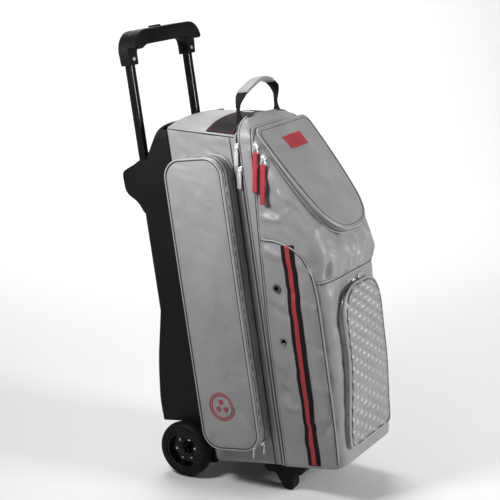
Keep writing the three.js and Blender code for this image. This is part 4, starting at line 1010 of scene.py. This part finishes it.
for name, body, shift in (("door", "door", -0.75), ("case", "bag", 0.75)):
    tape_path = gap_path * (0.988, 1, 0.997) + (0, shift, 0)
    teeth = bits(f"main_zip_teeth_{name}", tape_path, (1.6, 2.2, 1.4), 2.8, zip_black, from_middle)
    settle(teeth, body, "steel")
tape_x = gap_path * (0.975, 1, 0.994)
# The tapes' dark grey is partly painted shade of the gap between case and door.
for name, body, rows in (("door", "door", (-5.5, -2.6, -0.2)), ("case", "bag", (0.2, 2.6, 6.5))):
    rows = np.array(rows)[:, None]
    tape = surface(f"main_zip_tape_{name}", tape_x[None, :, 0] + 0 * rows, tape_x[None, :, 1] + rows,
                   tape_x[None, :, 2] + 0 * rows, tape_and_gap_shade)
    thicken(tape, 0.8, 0)
    settle(tape, body, "grey_fabric")

# The side panels are set off by an arched cord, which comes over the side and runs down to the foot.
arch_cord = through([(-262, 472), (-290, 468), (-317, 458), (-338, 446), (-354, 432), (-366, 408),
                     (-373, 375), (-376, 330), (-377, 250), (-377, 60), (-374, -26)], 170)
for side, sign in SIDES:
    corner_x = HALF - 6 * np.clip((FRONT + 26 - arch_cord[:, 0]) / 26, 0, 1) ** 2
    path = np.stack([sign * (corner_x + 1.6), arch_cord[:, 0], arch_cord[:, 1]], -1)
    swell = np.exp(-((path[:, 2] - 445) / 46) ** 2) * smooth(path[:, 2], 372, 386)
    path[:, 0] += sign * swell * 2.4 * smooth(FRONT + 60 - path[:, 1], 0, 34)
    corded(f"door_arch_cord_{side}", path, "door", (sign * 0.1, 3.4, -1.2))

# Webbing stripe down each side panel: black, red, black.
STRIPE_LOW, STRIPE_HIGH = -30, 458
stripe_z = np.linspace(STRIPE_LOW, STRIPE_HIGH, 130)
for side, sign in SIDES:
    for name, wide, cloth, slot, off in (("black", 29.0, webbing_black, "black_webbing", 2.0),
                                         ("red", 10.4, webbing_red, "red_webbing", 2.9)):
        yy, zz = np.meshgrid(np.linspace(-wide / 2, wide / 2, 15), stripe_z)
        yy = yy + np.interp(zz, (STRIPE_LOW, 220, STRIPE_HIGH), (-315.5, -317, -320.5))
        out_x = half_of(zz) + off + smooth(zz, BASE, 0) * side_swell(yy, zz)
        stripe = surface(f"stripe_{name}_{side}", sign * out_x, yy, zz, cloth)
        thicken(stripe, 1.0, 0)
        settle(stripe, "door", slot)

# The slip pocket's hem, low on the gathered cloth, and the hems round both mouths.
hem_x = np.linspace(-121, 121, 120)
hem_y = FRONT - 1.0 + (np.clip(np.abs(hem_x) - 100, 0, 24) / 24) ** 2 * 9.5 - front_bulge(hem_x, 377)
hem_z = 377 - 3 * (np.abs(hem_x) / 120) ** 2
hem = np.stack([hem_x, hem_y, hem_z], -1)
corded("slip_pocket_hem", hem, "door", (0, 0.4, -3.4), radius=1.4)
shoe_arch = np.linspace(0, np.pi, 60)
shoe_side = np.linspace(SHOE_FOOT, SHOE_SPRING - 4, 60)
shoe_rim = np.concatenate([
    np.stack([SHOE_HALF + 0 * shoe_side, shoe_side], -1),
    np.stack([SHOE_HALF * np.cos(shoe_arch), SHOE_SPRING + SHOE_RISE * np.sin(shoe_arch)], -1),
    np.stack([-SHOE_HALF + 0 * shoe_side, shoe_side[::-1]], -1),
])
shoe_x, shoe_z = resample(np.concatenate([shoe_rim, shoe_rim[:1]]), 300)[:-1].T
shoe_path = np.stack([shoe_x, FRONT + 1.6 - front_bulge(shoe_x, shoe_z), shoe_z], -1)
# The mouth hems share the zip tape's dark grey, which is partly painted shade.
settle(swept("shoe_mouth_hem", shoe_path, 3.4, tape_and_gap_shade, closed=True), "door", "grey_fabric")
mouth = ring_of(MOUTH_HALF, MOUTH_HEAD, MOUTH_FOOT, 6, 6)
mouth_path = np.stack(along_slope(mouth[:, 0], mouth[:, 1], -1.2), -1)
settle(swept("top_mouth_hem", mouth_path, 3.2, tape_and_gap_shade, closed=True), "door", "grey_fabric")

# Grommets, two on each side, frame air holes.
for side, _ in SIDES:
    for place in (1, 2):
        eased(f"grommet_{side}_{place}", "door", gunmetal, 0.5, 3)

# ------------------------------------------------------------------ top pocket lid
# A padded tongue over the slope, hinged along its top, with two corded edges and a zip between them.
LID_MIDDLE = 155.0


def tongue(count=300, inset=0.0):
    """Outline of the lid in its plane: square shoulders at the top and a round lower end."""
    shoulder = np.radians(np.linspace(-90, -8, 14))
    right = np.concatenate([np.stack([93 + 17 * np.cos(shoulder), 30 + 17 * np.sin(shoulder)], -1),
                            through([(110.4, 42), (109, 90), (104, 150), (97, 200), (88, 236), (70, 266),
                                     (40, 285), (0, 290)], 90)])
    path = np.concatenate([right, right[::-1] * (-1, 1)])
    path = path + (path - (0, LID_MIDDLE)) * (-inset / 100)
    return resample(np.concatenate([path, path[:1]]), count)[:-1]


LID_HOLLOWS = (
    ((-60, 90), (20, 200), 26, 3.0), ((50, 230), (-10, 255), 16, -2.4), ((-85, 60), (-30, 70), 14, 2.4),
)


def lid_folds(u, v, k):
    """Broad soft hollows of the lid's padding."""
    total = folds(u, v, LID_HOLLOWS, ripple(u, v, 51, 130, 1.6))
    total = total + creased(u, v, 77, 14, (-80, 40), (80, 250), 1.0)
    return total * smooth(1 - k, 0.02, 0.25)


def lid_height(s):
    """The lid lies flat at its head and stands deep at its lower end."""
    return np.interp(s, (0, 70, 200, 300), (3.5, 8, 16, 22))


def in_lid(u, v, h):
    """The lid's padding in space: its rim follows the lid's height, and its crown stands on that."""
    return along_slope(u, v, 0.6 + np.minimum(h / LID_RIM, 1) * lid_height(v) + np.maximum(h - LID_RIM, 0))


LID_RIM = 12.2
lid_shape = tongue()
lid = cushion("top_lid_pad", lid_shape, (112, 196), 4.6, LID_RIM, in_lid, grey_twill, lid_folds, 34)
settle(lid, "top_lid", "grey_fabric", "top_pocket_lid")
rim_u, rim_v = lid_shape.T


def round_lid(grow, high):
    """The lid's outline in space, a little larger than the lid."""
    return np.stack(along_slope(rim_u * grow, LID_MIDDLE + (rim_v - LID_MIDDLE) * grow, high), -1)


cord("top_lid_cord_upper", round_lid(1.002, lid_height(rim_v)), 1.9, "top_lid")
cord("top_lid_cord_lower", round_lid(1.006, 2.2), 1.9, "top_lid")
inner_u, inner_v = tongue(inset=5.0).T
shade_line("top_lid_seam", np.stack(along_slope(inner_u, inner_v, lid_height(inner_v) + 1.9), -1), 0.9, "top_lid")
zip_path = round_lid(1.009, lid_height(rim_v) * 0.55)
settle(swept("top_lid_zip", zip_path, 1.5, zip_black, closed=True, sides=6), "top_lid", "steel")

# Blank red label sewn near the lid's top.
lab_u, lab_v = np.meshgrid(np.linspace(-42, 34, 30), np.linspace(46, 80, 14))
label = surface("lid_label", *along_slope(lab_u, lab_v, 20), webbing_red)
lie_on(label, lid, 0.5)
thicken(label, 0.9, 0)
settle(label, "top_lid", "red_webbing")

# ------------------------------------------------------------------ quilted lid
# The shoe compartment's lid: a shallow padded tray, quilted in diamonds, with a zip over its arch.
QUILT_HALF, QUILT_TOP, QUILT_PITCH = 86.0, 352.0, 28.0
QUILT_MIDDLE = QUILT_TOP / 2
quilt_satin = woven("quilt_satin", (0.25, 0.25, 0.254), 0.38)


def arch_outline(half, low, high, foot, count):
    """Arched outline: square foot with small corners, straight sides and a broad round top."""
    turn_low = np.radians(np.linspace(-90, 0, 8))
    right = np.concatenate([
        np.stack([half - foot + foot * np.cos(turn_low), low + foot + foot * np.sin(turn_low)], -1),
        through([(half, high - 120), (half, high - 66), (half * 0.93, high - 38), (half * 0.74, high - 14),
                 (half * 0.42, high - 2), (0, high)], 60),
    ])
    path = np.concatenate([right, right[::-1] * (-1, 1)])
    return resample(np.concatenate([path, path[:1]]), count)[:-1]


def quilting(u, v, k):
    """Puffed diamonds: the cloth is stitched down along two families of slanted lines."""
    first, second = v + u * 0.64, v - u * 0.94
    puff = np.abs(np.sin(np.pi * first / QUILT_PITCH)) * np.abs(np.sin(np.pi * second / QUILT_PITCH))
    return (5.6 * puff**0.6 - 3.0) * smooth(1 - k, 0.015, 0.06)


def quilt_flare(z):
    """The lid widens towards its foot."""
    return 1 + 0.13 * (1 - smooth(z, 20, 230))


def quilt_rear(z):
    """Where the lid meets the crowned front of the door."""
    return FRONT - 1.2 - front_bulge(QUILT_HALF, z)


def quilt_depth(z):
    """The lid is deepest under its arch and shallow at its foot."""
    return np.interp(z, (0, 120, 250, 352), (8.0, 11.5, 14.0, 16.0))


def in_quilt(u, v, h):
    """The quilted face in space, over the front of the lid's tray."""
    return u * quilt_flare(v), quilt_rear(v) - quilt_depth(v) + 1.5 - h, v


quilt_shape = arch_outline(QUILT_HALF, 0, QUILT_TOP, 14, 440)
quilt = cushion("quilt_face", quilt_shape, (92, 262), 3.2, 3.0, in_quilt, quilt_satin, quilting, 60)
settle(quilt, "quilted_lid", "quilted_fabric", "quilted_lid")
wall_u, wall_v = quilt_shape[None, :, 0], quilt_shape[None, :, 1]
shares = np.array([0, 0.06, 0.16, 0.28, 0.4, 0.46, 0.56, 0.62, 0.74, 0.86, 0.96])[:, None]
wall_swell = np.array([1.5, 0.6, 0, -0.4, -0.8, -1.6, -1.6, -0.8, -0.2, 0.2, 0])[:, None]
around_run = np.arange(quilt_shape.shape[0])[None] * 2.3
wall_swell = ripple(around_run, shares * 9, 61, 40, 0.7) + wall_swell
wall_x = wall_u * quilt_flare(wall_v) * (1 + wall_swell / QUILT_HALF)
wall_z = QUILT_MIDDLE + (wall_v - QUILT_MIDDLE) * (1 + wall_swell / QUILT_MIDDLE)
wall_y = quilt_rear(wall_v) - shares * quilt_depth(wall_v)
gusset = surface("quilt_gusset", wall_x, wall_y, wall_z, grey_twill, around=True)
face_out(gusset, (0, -400, QUILT_MIDDLE))
thicken(gusset, 2.4)
settle(gusset, "quilted_lid", "grey_fabric")


def quilt_ring(shape, share, out=0.0):
    """The lid's outline in space, at a share of its depth."""
    u, v = shape[:, 0], shape[:, 1]
    return np.stack([u * quilt_flare(v), quilt_rear(v) - share * quilt_depth(v) - out, v], -1)


cord("quilt_cord_rear", quilt_ring(quilt_shape, 0.06), 1.6, "quilted_lid")
cord("quilt_cord_front", quilt_ring(quilt_shape, 0.98), 1.7, "quilted_lid")
face_ring = arch_outline(QUILT_HALF - 5, 5, QUILT_TOP - 5, 12, 420)
shade_line("quilt_seam", quilt_ring(face_ring, 1.0, 3.4), 0.9, "quilted_lid")
zip_ring = quilt_ring(quilt_shape, 0.5)
zip_ring = zip_ring[zip_ring[:, 2] > 8]
zip_start = np.argmax(np.linalg.norm(np.diff(zip_ring, axis=0), axis=1)) + 1
zip_ring = np.roll(zip_ring, -zip_start, 0)


def from_quilt_spine(p):
    """Directions out of the quilted lid's outline, for its zip's teeth."""
    return np.stack([p[:, 0], 0 * p[:, 0], p[:, 2] - np.clip(p[:, 2], 20, 262)], -1)


teeth = bits("quilt_zip", zip_ring, (1.5, 3.0, 1.4), 2.4, zinc, from_quilt_spine, 0.8)
settle(teeth, "quilted_lid", "steel")

# ------------------------------------------------------------------ carry handle
# A strap of black webbing, folded narrow where it turns on its anchors, with a padded grey sleeve.
CARRY_Y, CARRY_HALF, CARRY_FOOT = -219.5, 80.0, 749.0
CARRY_POINTS, CARRY_LENGTH = 121, 205
SLEEVE_FROM, SLEEVE_TO, SLEEVE_WIDE, SLEEVE_THICK = 22, 92, 14.2, 4.6
carry = through([(-CARRY_HALF, CARRY_FOOT - 3), (-76, 757), (-66, 768), (-52, 778), (-14, 791), (20, 798),
                 (52, 793), (78, 778), (85, 764), (84, 754), (CARRY_HALF, CARRY_FOOT - 3)], CARRY_POINTS)
carry_ahead = np.gradient(carry, axis=0)
carry_ahead /= np.linalg.norm(carry_ahead, axis=1)[:, None]
carry_out = np.stack([-carry_ahead[:, 1], carry_ahead[:, 0]], -1)


def squared(wave, corner):
    """A sine or cosine pressed towards a square wave, for bands with rounded corners."""
    return np.sign(wave) * np.abs(wave) ** corner


def wrapped(name, part, half_width, half_thick, material, corner):
    """Closed band round the strap's path: half width front to back and half thickness along it."""
    turn = np.linspace(0, 2 * np.pi, 33)[:-1]
    points, out = carry[part], carry_out[part]
    yy = CARRY_Y + half_width[:, None] * squared(np.sin(turn), corner)
    lift = half_thick[:, None] * squared(np.cos(turn), corner)
    made = surface(name, points[:, :1] + out[:, :1] * lift, yy, points[:, 1:] + out[:, 1:] * lift, material,
                   around=True)
    return seal(made)


steps = np.arange(CARRY_POINTS)
end_run = np.minimum(steps, steps[::-1]) / steps[-1] * CARRY_LENGTH
strap_half = 4.5 + 8.5 * smooth(end_run, 2, 36)
strap_thick = 2.0 + 2.2 * (1 - smooth(end_run, 4, 34))
closing = np.where(end_run < 0.5, 0.02, 1)
strap = wrapped("carry_strap_web", slice(None), strap_half * closing, strap_thick * closing, webbing_black,
                0.6)
settle(strap, "carry_handle", "black_webbing", "carry_strap")
hem_turn = np.ones(SLEEVE_TO - SLEEVE_FROM)
hem_turn[[0, -1]], hem_turn[[1, -2]] = 0.02, 0.9
sleeve = wrapped("carry_sleeve_pad", slice(SLEEVE_FROM, SLEEVE_TO), SLEEVE_WIDE * hem_turn,
                 SLEEVE_THICK * hem_turn, grey_twill, 0.55)
settle(sleeve, "carry_handle", "grey_fabric", "carry_sleeve")
stub_foot = case_top(CARRY_HALF, CARRY_Y)
stub_z = np.linspace(stub_foot - 2, CARRY_FOOT - 0.6, 16)[:, None]
stub_turn = np.linspace(0, 2 * np.pi, 25)[None, :-1]
stub_closing = np.where((stub_z == stub_z[0]) | (stub_z == stub_z[-1]), 0.02, 1)
stub_half = (4.2 + 5.0 * smooth(-stub_z, -(stub_foot + 22), -(stub_foot + 2))) * stub_closing
for side, sign in SIDES:
    stub_x = sign * CARRY_HALF + 2.8 * stub_closing * squared(np.cos(stub_turn), 0.6)
    stub_y = CARRY_Y + stub_half * squared(np.sin(stub_turn), 0.6)
    stub = surface(f"carry_stub_{side}", stub_x, stub_y, stub_z, webbing_black, around=True)
    settle(seal(stub), "bag", "black_webbing", f"carry_anchor_{side}")

# ------------------------------------------------------------------ zip sliders and pulls
# Cast sliders with stamped pulls. The main zip has two long bright pulls, the side pockets and the
# quilted lid short ones. The top pocket's two pulls are plain red ribbons on wire links.


def in_bag(point):
    """A place in the row frame, in the bag's own millimetres."""
    return np.array([ACROSS, BACK, UP]) @ (np.asarray(point) - AXLE) / MM


RIBBONS = ("top_zip_upper", "top_zip_lower")
ZIPS = ("main_zip_upper", "main_zip_lower", *RIBBONS, "shoe_zip_left", "shoe_zip_right",
        "side_zip_left_front", "side_zip_left_rear", "side_zip_right_front", "side_zip_right_rear")
# half of a wire link, as places across it and down from its pivot
LINK_HALF = np.array([(2.4, -2), (3.4, 2), (5.4, 10), (5.6, 13), (4.6, 14.5)])
LINK = np.concatenate([[(-2.4, -2)], LINK_HALF, LINK_HALF[:0:-1] * (-1, 1)])
down = in_bag(AXLE + (0, 0, -MM))
broad = np.cross(down, (1, 0, 0))
for name in ZIPS:
    eased(f"{name}_slider", f"{name}_slider", chrome, 0.9, 3)
    if name not in RIBBONS:
        eased(f"{name}_pull", f"{name}_pull", chrome, 0.6, 3)
        continue
    pivot = in_bag(joints[f"{name}_swing"]["pos_m"])
    loop = through(pivot + LINK @ np.stack([broad, down]), 60, closed=True)[:-1]
    settle(swept(f"{name}_link", loop, 1.0, chrome, closed=True), f"{name}_pull", "chrome")
    drop_run, across = np.linspace(12.5, 99, 40)[:, None], np.linspace(-5.6, 5.6, 7)[None]
    strip = pivot + drop_run[..., None] * down + across[..., None] * broad
    strip[..., 0] -= 0.04 * across * np.sin(drop_run / 26)
    ribbon = surface(f"{name}_ribbon", strip[..., 0], strip[..., 1], strip[..., 2], webbing_red)
    thicken(ribbon, 2.0, 0)
    settle(ribbon, f"{name}_pull", "red_webbing", f"{name}_pull")
